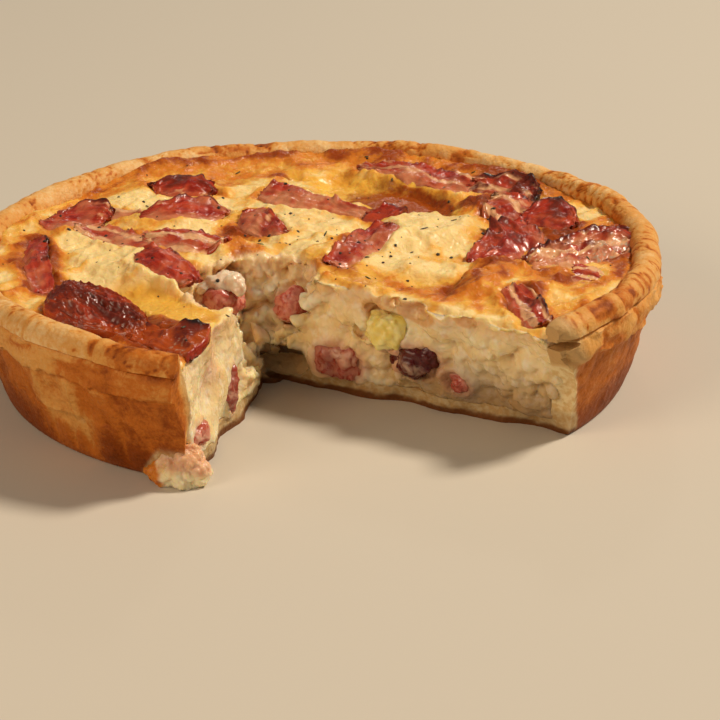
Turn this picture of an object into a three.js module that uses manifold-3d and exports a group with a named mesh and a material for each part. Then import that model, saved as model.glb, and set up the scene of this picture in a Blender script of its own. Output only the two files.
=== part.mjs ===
// A deep round bacon quiche with one slice cut out of it.
// A pastry shell (flat base, flared wall, folded band and rolled rim) holds a set egg custard.
// Strips of bacon lie on the custard, and bacon lardons and a cheese cube show in the cut faces.
// Millimetres, +Z up. The origin is the middle of the base, on the surface that the quiche stands on.
// The cut opens towards +X -Y. Its right face runs out towards +X, and its left face towards -Y.
import * as THREE from "three";
import { mergeVertices } from "three/addons/utils/BufferGeometryUtils.js";
import Module from "manifold-3d";

const wasm = await Module();
wasm.setup();

// ---- driving sizes ----
const RIM_RADIUS = 90; // outermost, on the rolled rim
const RIM_HEIGHT = 34; // the crest of the rim, before its rise and fall
const RIM_RISE = 1.5; // how much one side of the rim stands above the middle, and the other below
const RIM_HIGH_SIDE = -55; // degrees: the side where the rim stands highest
const ROLL_RADIUS = 3.7; // half the thickness of the rolled rim
const BASE_RADIUS = 82;
const BASE_THICKNESS = 4.5;
const WALL_THICKNESS = 4.5;
const BAND_HEIGHT = 6.2; // the folded band under the roll
const BAND_STANDS_OUT = 1.3; // how far the band stands out of the wall
const FILL_HEIGHT = 31.5; // the custard's top, in the middle
const FILL_FALL = 1.5; // how much lower it is where it meets the crust
const GAP = 0.3; // air between pieces that touch

const APEX = new THREE.Vector2(-2, -17); // where the two cuts meet
const APEX_ROUND = 3;
const CUT_LEFT = -70.5; // degrees: the direction of the left cut
const CUT_RIGHT_LOW = 8; // degrees: the right cut at the base, and at the top, where it leans out
const CUT_RIGHT_HIGH = -2;
const CUT_REACH = 112;
const CUT_RELIEF = 1.3; // how uneven the cut faces are

const ROUND_STEPS = 56;

// ---- small helpers ----
const radians = THREE.MathUtils.degToRad;
const mix = THREE.MathUtils.lerp;
const clamp01 = (t) => THREE.MathUtils.clamp(t, 0, 1);

// A closed geometry as a manifold-3d solid.
function solid(geometry) {
  const bare = geometry.clone();
  bare.deleteAttribute("normal");
  bare.deleteAttribute("uv");
  const merged = mergeVertices(bare, 1e-4);
  return new wasm.Manifold(
    new wasm.Mesh({
      numProp: 3,
      vertProperties: merged.attributes.position.array,
      triVerts: new Uint32Array(merged.index.array),
    }),
  );
}

// A manifold-3d solid as a geometry, without the slivers that a cut leaves beside it.
function geometryOf(made) {
  const bodies = made.decompose();
  const largest = bodies.reduce((a, b) => (a.volume() > b.volume() ? a : b));
  const mesh = largest.getMesh();
  const geometry = new THREE.BufferGeometry();
  geometry.setAttribute("position", new THREE.BufferAttribute(mesh.vertProperties, 3));
  geometry.setIndex(new THREE.BufferAttribute(mesh.triVerts, 1));
  geometry.computeVertexNormals();
  return geometry;
}

// Moves every vertex of a geometry by a function of its place.
function reshape(geometry, move) {
  const position = geometry.getAttribute("position");
  const point = new THREE.Vector3();
  for (let i = 0; i < position.count; i++) {
    point.fromBufferAttribute(position, i);
    move(point);
    position.setXYZ(i, point.x, point.y, point.z);
  }
  return geometry;
}

// A profile of (radius, height) points turned about the Z axis.
function turned(profile) {
  return new THREE.LatheGeometry(profile, ROUND_STEPS).rotateX(Math.PI / 2);
}

const at = (radius, height) => new THREE.Vector2(radius, height);

// ---- the crust ----
const rimLift = (angle) =>
  RIM_RISE * Math.cos(angle - radians(RIM_HIGH_SIDE)) + 0.4 * Math.sin(7 * angle + 1);

function crustProfile() {
  const rollRadius = RIM_RADIUS - ROLL_RADIUS;
  const rollHeight = RIM_HEIGHT - ROLL_RADIUS;
  const bandTop = rollHeight - ROLL_RADIUS * 0.5;
  const bandLow = bandTop - BAND_HEIGHT;
  const bandRadius = RIM_RADIUS - 0.7;
  const wallTop = bandRadius - BAND_STANDS_OUT;
  const wallAt = (height) => mix(BASE_RADIUS, wallTop, height / bandLow);
  const points = [
    at(0, 0),
    at(BASE_RADIUS * 0.5, 0),
    at(BASE_RADIUS - 2, 0),
    at(BASE_RADIUS, 1.6),
    at(wallAt(bandLow * 0.5), bandLow * 0.5),
    at(wallTop, bandLow),
    at(bandRadius, bandLow + 0.8),
    at(bandRadius + 0.3, bandLow + BAND_HEIGHT * 0.5),
    at(bandRadius, bandTop),
    at(bandRadius - 0.6, bandTop + 0.9),
  ];
  for (let turn = -12; turn <= 190; turn += 33.6) {
    const a = radians(turn);
    points.push(at(rollRadius + ROLL_RADIUS * Math.cos(a), rollHeight + ROLL_RADIUS * Math.sin(a)));
  }
  points.push(
    at(wallTop - WALL_THICKNESS - 1, bandLow),
    at(BASE_RADIUS - WALL_THICKNESS, BASE_THICKNESS),
    at(BASE_RADIUS * 0.5, BASE_THICKNESS),
    at(0, BASE_THICKNESS),
  );
  return points;
}

function crustSolid() {
  const shell = reshape(turned(crustProfile()), (p) => {
    const angle = Math.atan2(p.y, p.x);
    const up = clamp01(p.z / RIM_HEIGHT);
    const outward = 1 + (0.004 * Math.sin(8 * angle) + 0.003 * Math.sin(20 * angle)) * up;
    p.x *= outward;
    p.y *= outward;
    p.z += rimLift(angle) * clamp01((p.z - BASE_THICKNESS) / (RIM_HEIGHT - BASE_THICKNESS));
  });
  return solid(shell);
}

// ---- the custard ----
const swell = (x, y) =>
  0.8 * Math.sin(x / 9 + 0.7) * Math.cos(y / 11 - 0.4) + 0.5 * Math.sin((x + y) / 8 + 2);

function fillingProfile() {
  const edgeRadius = RIM_RADIUS - 2 * ROLL_RADIUS - 1.6;
  const points = [
    at(0, BASE_THICKNESS + GAP),
    at(BASE_RADIUS * 0.5, BASE_THICKNESS + GAP),
    at(BASE_RADIUS - WALL_THICKNESS - 2 * GAP, BASE_THICKNESS + GAP),
    at(edgeRadius, FILL_HEIGHT - FILL_FALL - 1.5),
  ];
  const rings = 9;
  for (let ring = rings; ring > 0; ring--) {
    const share = ring / rings;
    points.push(at(edgeRadius * share - (ring === rings ? 1 : 0), FILL_HEIGHT - FILL_FALL * share ** 3));
  }
  points.push(at(0, FILL_HEIGHT));
  return points;
}

function fillingSolid(crust) {
  const custard = reshape(turned(fillingProfile()), (p) => {
    const top = clamp01((p.z - FILL_HEIGHT * 0.8) / (FILL_HEIGHT * 0.2));
    p.z += (swell(p.x, p.y) + 0.4 * rimLift(Math.atan2(p.y, p.x))) * top;
  });
  // The crust, moved a gap inwards all round, so that the custard stays clear of it.
  return ["x", "y"].reduce(
    (left, axis) =>
      [-GAP, GAP].reduce((rest, by) => rest.subtract(crust.translate(axis === "x" ? [by, 0, 0] : [0, by, 0])), left),
    solid(custard).subtract(crust.translate([0, 0, GAP])),
  );
}

// ---- the cut ----
const relief = (along, height) =>
  CUT_RELIEF * (0.6 * Math.sin(along / 5.1 + height / 4.3) + 0.4 * Math.sin(along / 2.9 - height / 3.7 + 1));

const rightCut = (height) => mix(CUT_RIGHT_LOW, CUT_RIGHT_HIGH, clamp01(height / RIM_HEIGHT));

function sliceCutter() {
  const low = -5;
  const high = 48;
  const grid = new THREE.BoxGeometry(1, 1, 1, 17, 3, 8).translate(0.5, 0.5, 0.5);
  const wedge = reshape(grid, (p) => {
    const [outward, across] = [p.x, p.y];
    const height = mix(low, high, p.z);
    const angle = radians(mix(CUT_LEFT, rightCut(height), across));
    const reach = APEX_ROUND + outward * CUT_REACH;
    const side = (2 * across - 1) * relief(reach, height);
    p.set(
      APEX.x + reach * Math.cos(angle) - side * Math.sin(angle),
      APEX.y + reach * Math.sin(angle) + side * Math.cos(angle),
      height,
    );
  });
  return solid(wedge);
}

// A rounded hollow where the custard has broken away.
function hollow(centre, radii, detail) {
  return solid(
    new THREE.IcosahedronGeometry(1, detail)
      .scale(...radii)
      .translate(...centre),
  );
}

// ---- bacon on top ----
// A strip is named for where it lies. Heading and tilt are in degrees, and lift is how far it stands
// out of the custard.
const STRIPS = [
  { name: "bacon_strip_rim_west", x: -52, y: -50, heading: -52, length: 27, width: 10, tilt: 12, lift: 0.9 },
  { name: "bacon_strip_west", x: -66, y: -17, heading: 72, length: 22, width: 13, tilt: -22, lift: 1.6 },
  { name: "bacon_strip_northwest", x: -46, y: 5, heading: 47, length: 27, width: 13, tilt: -22, lift: 1.6 },
  { name: "bacon_curl_northwest", x: -58, y: 21, heading: 8, length: 20, width: 12, tilt: 8, lift: 2 },
  { name: "bacon_strip_pale", x: -48, y: -26, heading: 2, length: 22, width: 9, tilt: -12, lift: 1.2 },
  { name: "bacon_strip_red_upper", x: -28, y: -14, heading: 46, length: 28, width: 12, tilt: -15, lift: 1.8 },
  { name: "bacon_strip_red_lower", x: -25, y: -33, heading: -18, length: 17, width: 8, tilt: -15, lift: 1.4 },
  { name: "bacon_blister", x: -18, y: -66, heading: -4, length: 32, width: 18, tilt: 0, lift: 4.5 },
  { name: "bacon_strip_charred", x: 11.5, y: -69, heading: 28, length: 20, width: 9, tilt: 10, lift: 2 },
  { name: "bacon_piece_middle", x: -22, y: 8, heading: -8, length: 20, width: 13, tilt: -10, lift: 1.5 },
  { name: "bacon_strip_long", x: -14, y: 30, heading: 5, length: 45, width: 11, tilt: -14, lift: 1.7 },
  { name: "bacon_strip_peppered", x: 9, y: 4, heading: 94, length: 30, width: 11, tilt: 12, lift: 1.7 },
  { name: "bacon_strip_rim_north", x: -8, y: 62, heading: 5, length: 40, width: 9, tilt: -16, lift: 1.4 },
  { name: "bacon_curl_north", x: 23, y: 69, heading: 42, length: 17, width: 14, tilt: 5, lift: 2.6 },
  { name: "bacon_strip_bright", x: 41, y: 55, heading: 62, length: 18, width: 13, tilt: 20, lift: 1.9 },
  { name: "bacon_strip_east", x: 42, y: 30, heading: 103, length: 30, width: 12, tilt: 10, lift: 1.7 },
  { name: "bacon_strip_flaky", x: 61, y: 40, heading: 66, length: 30, width: 11, tilt: 8, lift: 1.7 },
  { name: "bacon_curl_by_cut", x: 67, y: -5, heading: 38, length: 16, width: 11, tilt: 8, lift: 2.4 },
  { name: "bacon_piece_east", x: 71, y: 19, heading: 75, length: 11, width: 7, tilt: 0, lift: 1 },
];
const STRIP_THICKNESS = 3;

function stripSolid(strip, number) {
  const sheet = new THREE.BoxGeometry(strip.length, strip.width, STRIP_THICKNESS, 8, 3, 1);
  const bent = reshape(sheet, (p) => {
    const along = (2 * p.x) / strip.length;
    const across = (2 * p.y) / strip.width;
    const round = Math.sqrt(1 - 0.45 * along ** 4);
    const edge = Math.max(Math.abs(along), Math.abs(across)) ** 3;
    p.y = p.y * round + 0.12 * strip.width * Math.sin(2.2 * along + number);
    p.z = p.z * (1 - 0.35 * edge) + 0.5 * Math.sin(3.5 * along + number) + strip.lift * 0.25 * (1 - edge);
  });
  bent
    .rotateX(radians(strip.tilt))
    .rotateZ(radians(strip.heading))
    .translate(strip.x, strip.y, FILL_HEIGHT + swell(strip.x, strip.y) + strip.lift - STRIP_THICKNESS * 0.5);
  return solid(bent);
}

// ---- bacon and cheese in the cut faces ----
// Each piece is placed by how far along its face it lies from the apex, how high, and how far its
// middle is sunk behind the face. Size is along the face, into the custard, and up.
const CHUNKS = [
  { name: "lardon_right_large", face: "right", along: 19.5, height: 8.5, sunk: 2.6, size: [10.5, 8, 8], turn: 0 },
  { name: "lardon_right_dark", face: "right", along: 45, height: 14.5, sunk: 2.3, size: [8.5, 7, 6], turn: -12 },
  { name: "lardon_right_red", face: "right", along: 5, height: 20.5, sunk: 2.6, size: [6.5, 7, 8], turn: 20 },
  { name: "lardon_right_small", face: "right", along: 54, height: 9.5, sunk: 1.4, size: [6, 5, 5], turn: 4 },
  { name: "lardon_hollow", face: "left", along: 6.6, height: 22.5, sunk: 10.9, size: [11, 8, 8], turn: 18 },
  { name: "lardon_left_slice", face: "left", along: 33, height: 11, sunk: 1, size: [4, 5, 12], turn: 0 },
  { name: "lardon_left_low", face: "left", along: 57.5, height: 9.5, sunk: 2.2, size: [7, 6.5, 6.5], turn: 0 },
  { name: "cheese_cube", face: "right", along: 36, height: 22, sunk: 2.2, size: [9, 7, 8.5], turn: 6 },
];

function chunkSolid(chunk, grow) {
  const [length, width, height] = chunk.size.map((s) => s + 2 * grow);
  const heading = chunk.face === "right" ? rightCut(chunk.height) : CUT_LEFT;
  const along = new THREE.Vector2(chunk.along, 0).rotateAround(new THREE.Vector2(), radians(heading));
  const behind = chunk.face === "right" ? 1 : -1; // the custard lies to the left or right of the cut
  const inward = new THREE.Vector2(0, behind * chunk.sunk).rotateAround(new THREE.Vector2(), radians(heading));
  const block = reshape(new THREE.BoxGeometry(2, 2, 2, 2, 2, 2), (p) => {
    p.multiplyScalar(1 - 0.11 * (p.lengthSq() - 1));
  });
  block
    .scale(length / 2, width / 2, height / 2)
    .rotateZ(radians(heading + chunk.turn))
    .translate(APEX.x + along.x + inward.x, APEX.y + along.y + inward.y, chunk.height);
  return solid(block);
}

// ---- materials ----
const plain = (color, roughness) => new THREE.MeshStandardMaterial({ color, roughness, metalness: 0 });
const PASTRY = plain("#c98f4a", 0.7);
const CUSTARD = plain("#ecd39a", 0.45);
const BACON = plain("#9c3f2c", 0.35);
const HAM = plain("#b9646a", 0.4);
const CHEESE = plain("#ecd06a", 0.35);

// ---- the quiche ----
const quiche = new THREE.Group();

function add(name, made, material) {
  const mesh = new THREE.Mesh(geometryOf(made), material);
  mesh.name = name;
  quiche.add(mesh);
}

const cutter = sliceCutter();
const topHollow = hollow([0, -28, 38], [15, 19, 31], 2);
const lowHollow = hollow([0, -15, 6], [9, 7, 4.8], 1);

const wholeCrust = crustSolid();
const crust = wholeCrust.subtract(cutter).subtract(lowHollow);
const pockets = CHUNKS.map((chunk) => chunkSolid(chunk, GAP));
const filling = pockets.reduce(
  (left, pocket) => left.subtract(pocket),
  fillingSolid(wholeCrust).subtract(cutter).subtract(topHollow).subtract(lowHollow),
);

add("crust", crust, PASTRY);
add("filling", filling, CUSTARD);

CHUNKS.forEach((chunk) => {
  add(chunk.name, chunkSolid(chunk, 0), chunk.name.startsWith("cheese") ? CHEESE : HAM);
});

STRIPS.forEach((strip, number) => {
  const inward = new THREE.Vector2(-strip.x, -strip.y).setLength(GAP);
  const settled = stripSolid(strip, number)
    .subtract(filling.translate([0, 0, GAP]))
    .subtract(crust.translate([0, 0, GAP]))
    .subtract(crust.translate([inward.x, inward.y, 0]));
  add(strip.name, settled, BACON);
});

export default quiche;
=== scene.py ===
"""A deep round bacon quiche with a slice cut out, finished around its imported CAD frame.

Shapes are worked out in millimetres and turned to metres when each piece is finished.
"""

import math

import bmesh
import bpy
import numpy as np
from mathutils import Matrix, Vector
from mathutils.bvhtree import BVHTree


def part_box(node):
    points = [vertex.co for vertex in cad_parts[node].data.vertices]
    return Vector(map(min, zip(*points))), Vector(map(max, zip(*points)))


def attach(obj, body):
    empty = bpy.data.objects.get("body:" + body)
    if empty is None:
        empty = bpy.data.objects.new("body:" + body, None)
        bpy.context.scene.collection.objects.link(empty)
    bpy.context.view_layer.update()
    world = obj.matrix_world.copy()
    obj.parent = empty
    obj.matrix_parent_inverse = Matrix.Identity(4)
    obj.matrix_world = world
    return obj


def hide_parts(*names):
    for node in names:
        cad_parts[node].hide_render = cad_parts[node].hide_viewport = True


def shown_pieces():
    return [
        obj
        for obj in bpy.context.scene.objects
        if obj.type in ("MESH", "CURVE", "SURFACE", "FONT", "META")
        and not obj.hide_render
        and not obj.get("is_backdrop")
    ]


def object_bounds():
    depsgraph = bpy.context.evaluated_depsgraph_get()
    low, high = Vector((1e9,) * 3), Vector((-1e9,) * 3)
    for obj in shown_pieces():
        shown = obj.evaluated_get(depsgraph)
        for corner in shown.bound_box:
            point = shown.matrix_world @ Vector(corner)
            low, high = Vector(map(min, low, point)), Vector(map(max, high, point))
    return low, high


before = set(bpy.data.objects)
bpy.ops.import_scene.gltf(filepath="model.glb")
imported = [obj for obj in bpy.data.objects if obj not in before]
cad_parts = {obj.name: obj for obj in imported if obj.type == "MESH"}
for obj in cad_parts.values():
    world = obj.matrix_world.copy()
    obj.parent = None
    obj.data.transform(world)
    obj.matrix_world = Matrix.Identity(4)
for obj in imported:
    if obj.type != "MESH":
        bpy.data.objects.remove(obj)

CAD_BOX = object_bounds()
MM = 0.001
scene = bpy.context.scene

# ---- sizes, in millimetres, as in the CAD frame ----
RIM_RADIUS = CAD_BOX[1].x / MM
RIM_HEIGHT = 34.0
RIM_RISE = 1.5
RIM_HIGH_SIDE = math.radians(-55)
ROLL_RADIUS = 3.7
BASE_RADIUS = 82.0
BASE_THICKNESS = 4.5
WALL_THICKNESS = 4.5
BAND_HEIGHT = 6.2
BAND_STANDS_OUT = 1.3
FILL_HEIGHT = 31.5
FILL_EDGE_HEIGHT = 30
FILL_EDGE_RADIUS = RIM_RADIUS - 2 * ROLL_RADIUS + 0.9
FILL_FALL = 1.5
APEX = np.array([-2.0, -17.0])
CUT_LEFT = math.radians(-70.5)
CUT_RIGHT_LOW = math.radians(8)
CUT_RIGHT_HIGH = math.radians(-2)
CUT_REACH = 112.0
CUT_RELIEF = 1.3
BLISTER_X, BLISTER_Y = -16, -66.5
BLISTER_HALF_LENGTH = 16.5

# Headings round the quiche, seen from above.
DEEPEST_FOLDS = math.radians(-94)
DARKEST_PASTRY = math.radians(-83)

# How fine the meshes are: the distance between their vertices, and the share of the hidden ones that is kept.
CUSTARD_SPACING = 0.62
FAT_SPACING = 0.35
STRIP_SPACING = 0.42
CUTTER_SPACING = 1.4
CRUST_CUTTER_SPACING = 0.9
HIDDEN_KEPT = 0.56

# The bacon's fibres, and how many times longer than wide they are.
FIBRES_PER_MM = 0.55
FIBRE_STRETCH = 4


# ---- noise ----
def hashed(cell, salt):
    """A repeatable number from 0 to 1 for each whole-number cell."""
    n = cell[..., 0] * 73856093 ^ cell[..., 1] * 19349663 ^ cell[..., 2] * 83492791 ^ (salt * 265443 + 97)
    n = (n ^ (n >> 13)) * 12741261
    n = (n ^ (n >> 11)) * 9176717
    return ((n ^ (n >> 16)) & 0xFFFFF) / 0xFFFFF


def wander(points, size, salt=0):
    """Smooth noise from -1 to 1, whose bumps are about size across."""
    p = points / size
    low = np.floor(p).astype(np.int64)
    t = p - low
    t = t * t * (3 - 2 * t)
    total = np.zeros(len(p))
    for corner in np.ndindex(2, 2, 2):
        share = np.where(corner, t, 1 - t).prod(axis=1)
        total += share * hashed(low + np.array(corner), salt)
    return 2 * total - 1


def rough(points, size, salt=0, octaves=3):
    """Several sizes of smooth noise together, from about -1 to 1."""
    return sum(wander(points, size / 2**k, salt + 7 * k) / 2**k for k in range(octaves)) / 1.6


def ridges(points, size, salt=0):
    """Sharp creases: 1 along their lines, falling to 0 between them."""
    return (1 - np.abs(wander(points, size, salt))) ** 3


def lumps(points, size, salt=0):
    """Rounded grains about size across: 1 on top of each, falling away to the creases between them."""
    p = points / size
    low = np.floor(p).astype(np.int64)
    nearest = np.ones(len(p))
    for offset in np.ndindex(3, 3, 3):
        cell = low + np.array(offset) - 1
        seed = np.stack([hashed(cell, salt + 31 * axis) for axis in range(3)], axis=1)
        nearest = np.minimum(nearest, ((cell + seed - p) ** 2).sum(axis=1))
    return np.sqrt(1 - nearest)


def step(value, low, high):
    """0 below low, 1 above high, and smooth between them."""
    t = np.clip((value - low) / (high - low), 0, 1)
    return t * t * (3 - 2 * t)


def bell(value, middle, width):
    """1 at the middle, falling to 0 on both sides of it."""
    return np.exp(-(((value - middle) / width) ** 2))


def rows(x, y, z):
    """Points, one row each. A plain number stands for a whole column."""
    return np.stack(np.broadcast_arrays(x, y, z), axis=1)


def patch(x, y, place, size, heading=0.0, edge=0.35, salt=0):
    """1 inside a ragged oval on the quiche's top, and 0 outside it."""
    turn = math.radians(heading)
    dx, dy = x - place[0], y - place[1]
    along = (dx * math.cos(turn) + dy * math.sin(turn)) / size[0]
    across = (dy * math.cos(turn) - dx * math.sin(turn)) / size[1]
    reach = np.hypot(along, across) + 0.28 * rough(rows(x, y, 0.0), 6.0, salt)
    return 1 - step(reach, 1 - edge, 1 + edge)


# ---- meshes ----
def positions(mesh):
    """Where each vertex lies, one row each."""
    co = np.empty(len(mesh.vertices) * 3)
    mesh.vertices.foreach_get("co", co)
    return co.reshape(-1, 3)


def normals(mesh):
    """The way each vertex faces, one row each."""
    no = np.empty(len(mesh.vertices) * 3)
    mesh.vertices.foreach_get("normal", no)
    return no.reshape(-1, 3)


def moved(mesh, co):
    mesh.vertices.foreach_set("co", np.ascontiguousarray(co, dtype=np.float32).ravel())
    mesh.update()


def paint(mesh, name, values):
    """Keeps one number for each vertex, for the material to read."""
    layer = mesh.attributes.get(name) or mesh.attributes.new(name, "FLOAT", "POINT")
    layer.data.foreach_set("value", np.clip(values, 0, 1).astype(np.float32))


def painted(mesh, name):
    """The numbers that paint left on the mesh."""
    values = np.empty(len(mesh.vertices))
    mesh.attributes[name].data.foreach_get("value", values)
    return values


def lay_strip(mesh, place):
    """Keeps how far along and across the strip each corner lies, for the meat's fibres to follow."""
    corner = np.empty(len(mesh.loops), dtype=np.int64)
    layer = mesh.uv_layers.new(name="strip")
    mesh.loops.foreach_get("vertex_index", corner)
    layer.data.foreach_set("uv", place[corner].astype(np.float32).ravel())


def thing(name, bm):
    """An object in the scene, made from a bmesh."""
    mesh = bpy.data.meshes.new(name)
    bm.to_mesh(mesh)
    bm.free()
    made = bpy.data.objects.new(name, mesh)
    scene.collection.objects.link(made)
    return made


def with_modifier(obj, kind, **settings):
    """Applies one modifier to the object's own mesh."""
    modifier = obj.modifiers.new(kind, kind)
    for key, value in settings.items():
        setattr(modifier, key, value)
    evaluated = obj.evaluated_get(bpy.context.evaluated_depsgraph_get())
    mesh = bpy.data.meshes.new_from_object(evaluated)
    obj.modifiers.clear()
    old = obj.data
    obj.data = mesh
    bpy.data.meshes.remove(old)
    return obj


def carve(obj, *cutters):
    """Cuts each closed shape out of the object."""
    for cutter in cutters:
        with_modifier(obj, "BOOLEAN", operation="DIFFERENCE", solver="MANIFOLD", object=cutter)
    return obj


def discard(*objects):
    """Removes shapes that only served to cut others."""
    for o in objects:
        bpy.data.objects.remove(o)


def finished(obj, material, slot, *nodes, flat_angle=None):
    """A piece in millimetres becomes part of the quiche: metres, smooth, painted and on its body."""
    mesh = obj.data
    mesh.transform(Matrix.Scale(MM, 4))
    mesh.shade_smooth()
    mesh.materials.clear()
    mesh.materials.append(material)
    if flat_angle:
        mesh.set_sharp_from_angle(angle=math.radians(flat_angle))
    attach(obj, "root")
    if nodes:
        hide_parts(*nodes)
    return obj


# ---- materials ----
# Sockets by number. MapRange: 0 the value, 1 and 2 the range it comes from, 3 and 4 the range it goes to.
# Mix: 0 the share, 2 and 3 two numbers, 6 and 7 two colours. Math: 0, 1 and 2 its numbers in order.
TINTS = {"data_type": "RGBA"}
SOFT = {"interpolation_type": "SMOOTHSTEP"}
MULTIPLY_ADD = {"operation": "MULTIPLY_ADD"}
LOOKS = {
    "base": "Base Color",
    "roughness": "Roughness",
    "shine": "Specular IOR Level",
    "coat": "Coat Weight",
    "coat_roughness": "Coat Roughness",
    "soak": "Subsurface Weight",
    "soak_depth": "Subsurface Radius",
}


def colour(code):
    """An sRGB hex colour as the linear values that Blender uses."""
    parts = [int(code[i : i + 2], 16) / 255 for i in (1, 3, 5)]
    return [p / 12.92 if p <= 0.04045 else ((p + 0.055) / 1.055) ** 2.4 for p in parts] + [1.0]


def add(tree, kind, fields, sockets, out=0):
    """Adds a node with its fields. A socket takes a number, a hex colour, or another node's output."""
    node = tree.nodes.new("ShaderNode" + kind)
    for name, value in fields.items():
        setattr(node, name, value)
    for name, value in sockets.items():
        if isinstance(value, bpy.types.NodeSocket):
            tree.links.new(value, node.inputs[name])
        else:
            node.inputs[name].default_value = colour(value) if isinstance(value, str) else value
    return node.outputs[out] if node.outputs else None


def spots(size_mm):
    """The noise scale whose spots are about this many millimetres across."""
    return 1 / (size_mm * MM)


def browning(tree, heat, shade, *coats):
    """Colours laid over a shade as heat rises: each coat starts at one heat and is full at another."""
    for start, full, tint in coats:
        share = add(tree, "MapRange", SOFT, {0: heat, 1: start, 2: full})
        shade = add(tree, "Mix", TINTS, {0: share, 6: shade, 7: tint}, 2)
    return shade


def new_material(name, *numbers):
    """An empty material, where each point lies in the quiche, and the numbers painted on the mesh."""
    material = bpy.data.materials.new(name)
    material.use_nodes = True
    tree = material.node_tree
    tree.nodes.clear()
    where = add(tree, "TexCoord", {}, {}, "Object")
    return tree, where, [add(tree, "Attribute", {"attribute_name": one}, {}, "Fac") for one in numbers]


def made_of(tree, relief=(), **looks):
    """Closes a material with its fine relief and its surface, and gives back the material.

    The relief comes in layers, each its height and how many millimetres that stands out.
    """
    below = {}
    for height, stands_out in relief:
        bump = {"Strength": 1.0, "Distance": stands_out * MM, "Height": height}
        below = {"Normal": add(tree, "Bump", {}, bump | below)}
    sockets = {"Subsurface Scale": 1.0} | {LOOKS[name]: value for name, value in looks.items()}
    surface = add(tree, "BsdfPrincipled", {}, sockets | below)
    add(tree, "OutputMaterial", {}, {"Surface": surface})
    return next(m for m in bpy.data.materials if m.node_tree == tree)


def custard_material():
    """Baked egg custard: a pale, moist, grainy set cream where cut, under a thin browned skin.

    The skin runs from cream through gold to toasted brown, and it shines where fat has pooled.
    """
    tree, where, (toast, cut, gold, pink, deep, cream, painted_shade) = new_material(
        "baked_egg_custard", "toast", "cut", "gold", "pink", "deep", "cream", "painted_shade"
    )
    fine = add(tree, "TexNoise", {}, {"Vector": where, "Scale": spots(1.6), "Detail": 4.0, "Roughness": 0.6})
    broad = add(
        tree, "TexNoise", {},
        {"Vector": where, "Scale": spots(7.0), "Detail": 3.0, "Distortion": 0.4},
    )
    curds = add(tree, "TexNoise", {}, {"Vector": where, "Scale": spots(3.2), "Detail": 3.0, "Roughness": 0.6})

    # Toasted skin: cream, gold, orange, brown, then nearly black on the tips of the blisters.
    heat = add(tree, "Math", MULTIPLY_ADD, {0: fine, 1: 0.42, 2: toast})
    skin = browning(
        tree, heat, "#f6d894",
        (0.24, 0.52, "#ecb24e"), (0.50, 0.76, "#d5802a"), (0.76, 1.06, "#984413"), (1.12, 1.40, "#42190c"),
    )
    pooled = browning(tree, broad, "#f2c052", (0.30, 0.75, "#e2a038"))
    pooled = browning(tree, heat, pooled, (0.50, 0.96, "#9a460a"))
    skin = add(tree, "Mix", TINTS, {0: gold, 6: skin, 7: pooled}, 2)

    # Cut custard: cream to yellow, with white curd grains and a wetter ground between them, where painted
    # shade lays a warm tan in the gaps and holes; the same tan is the browning by the top edge.
    inside = browning(tree, broad, "#fae4b4", (0.30, 0.72, "#f3d496"))
    inside = browning(tree, curds, inside, (0.48, 0.70, "#faeac8"))
    inside = browning(tree, cream, inside, (0.0, 1.1, "#fcefd0"))
    inside = browning(tree, deep, inside, (0.0, 1.3, "#d69c5c"))
    inside = browning(tree, pink, inside, (0.0, 1.5, "#dc9a7c"))
    base = add(tree, "Mix", TINTS, {0: cut, 6: skin, 7: inside}, 2)
    # Painted shade: dull brown low on the right-hand cut face and in the hollow under the filling.
    base = browning(tree, painted_shade, base, (0.0, 1.0, "#7a4a20"))

    wet = add(tree, "MapRange", SOFT, {0: curds, 1: 0.35, 2: 0.70, 3: 0.12, 4: 0.38})
    dry = add(tree, "MapRange", SOFT, {0: fine, 1: 0.30, 2: 0.70, 3: 0.24, 4: 0.48})
    gloss = add(tree, "Mix", {}, {0: cut, 2: dry, 3: wet})
    gloss = add(tree, "Mix", {}, {0: gold, 2: gloss, 3: 0.28})
    grit = add(tree, "TexNoise", {}, {"Vector": where, "Scale": spots(1.2), "Detail": 2.0})
    crinkle = add(
        tree, "TexNoise", {},
        {"Vector": where, "Scale": spots(3.0), "Detail": 2.0, "Distortion": 0.8},
    )
    return made_of(
        tree, ((grit, 0.16), (crinkle, 0.65), (broad, 0.4)), base=base, roughness=gloss, shine=0.22,
        coat=0.05, coat_roughness=0.10, soak=0.45, soak_depth=(3.0 * MM, 1.7 * MM, 0.8 * MM),
    )


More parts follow.
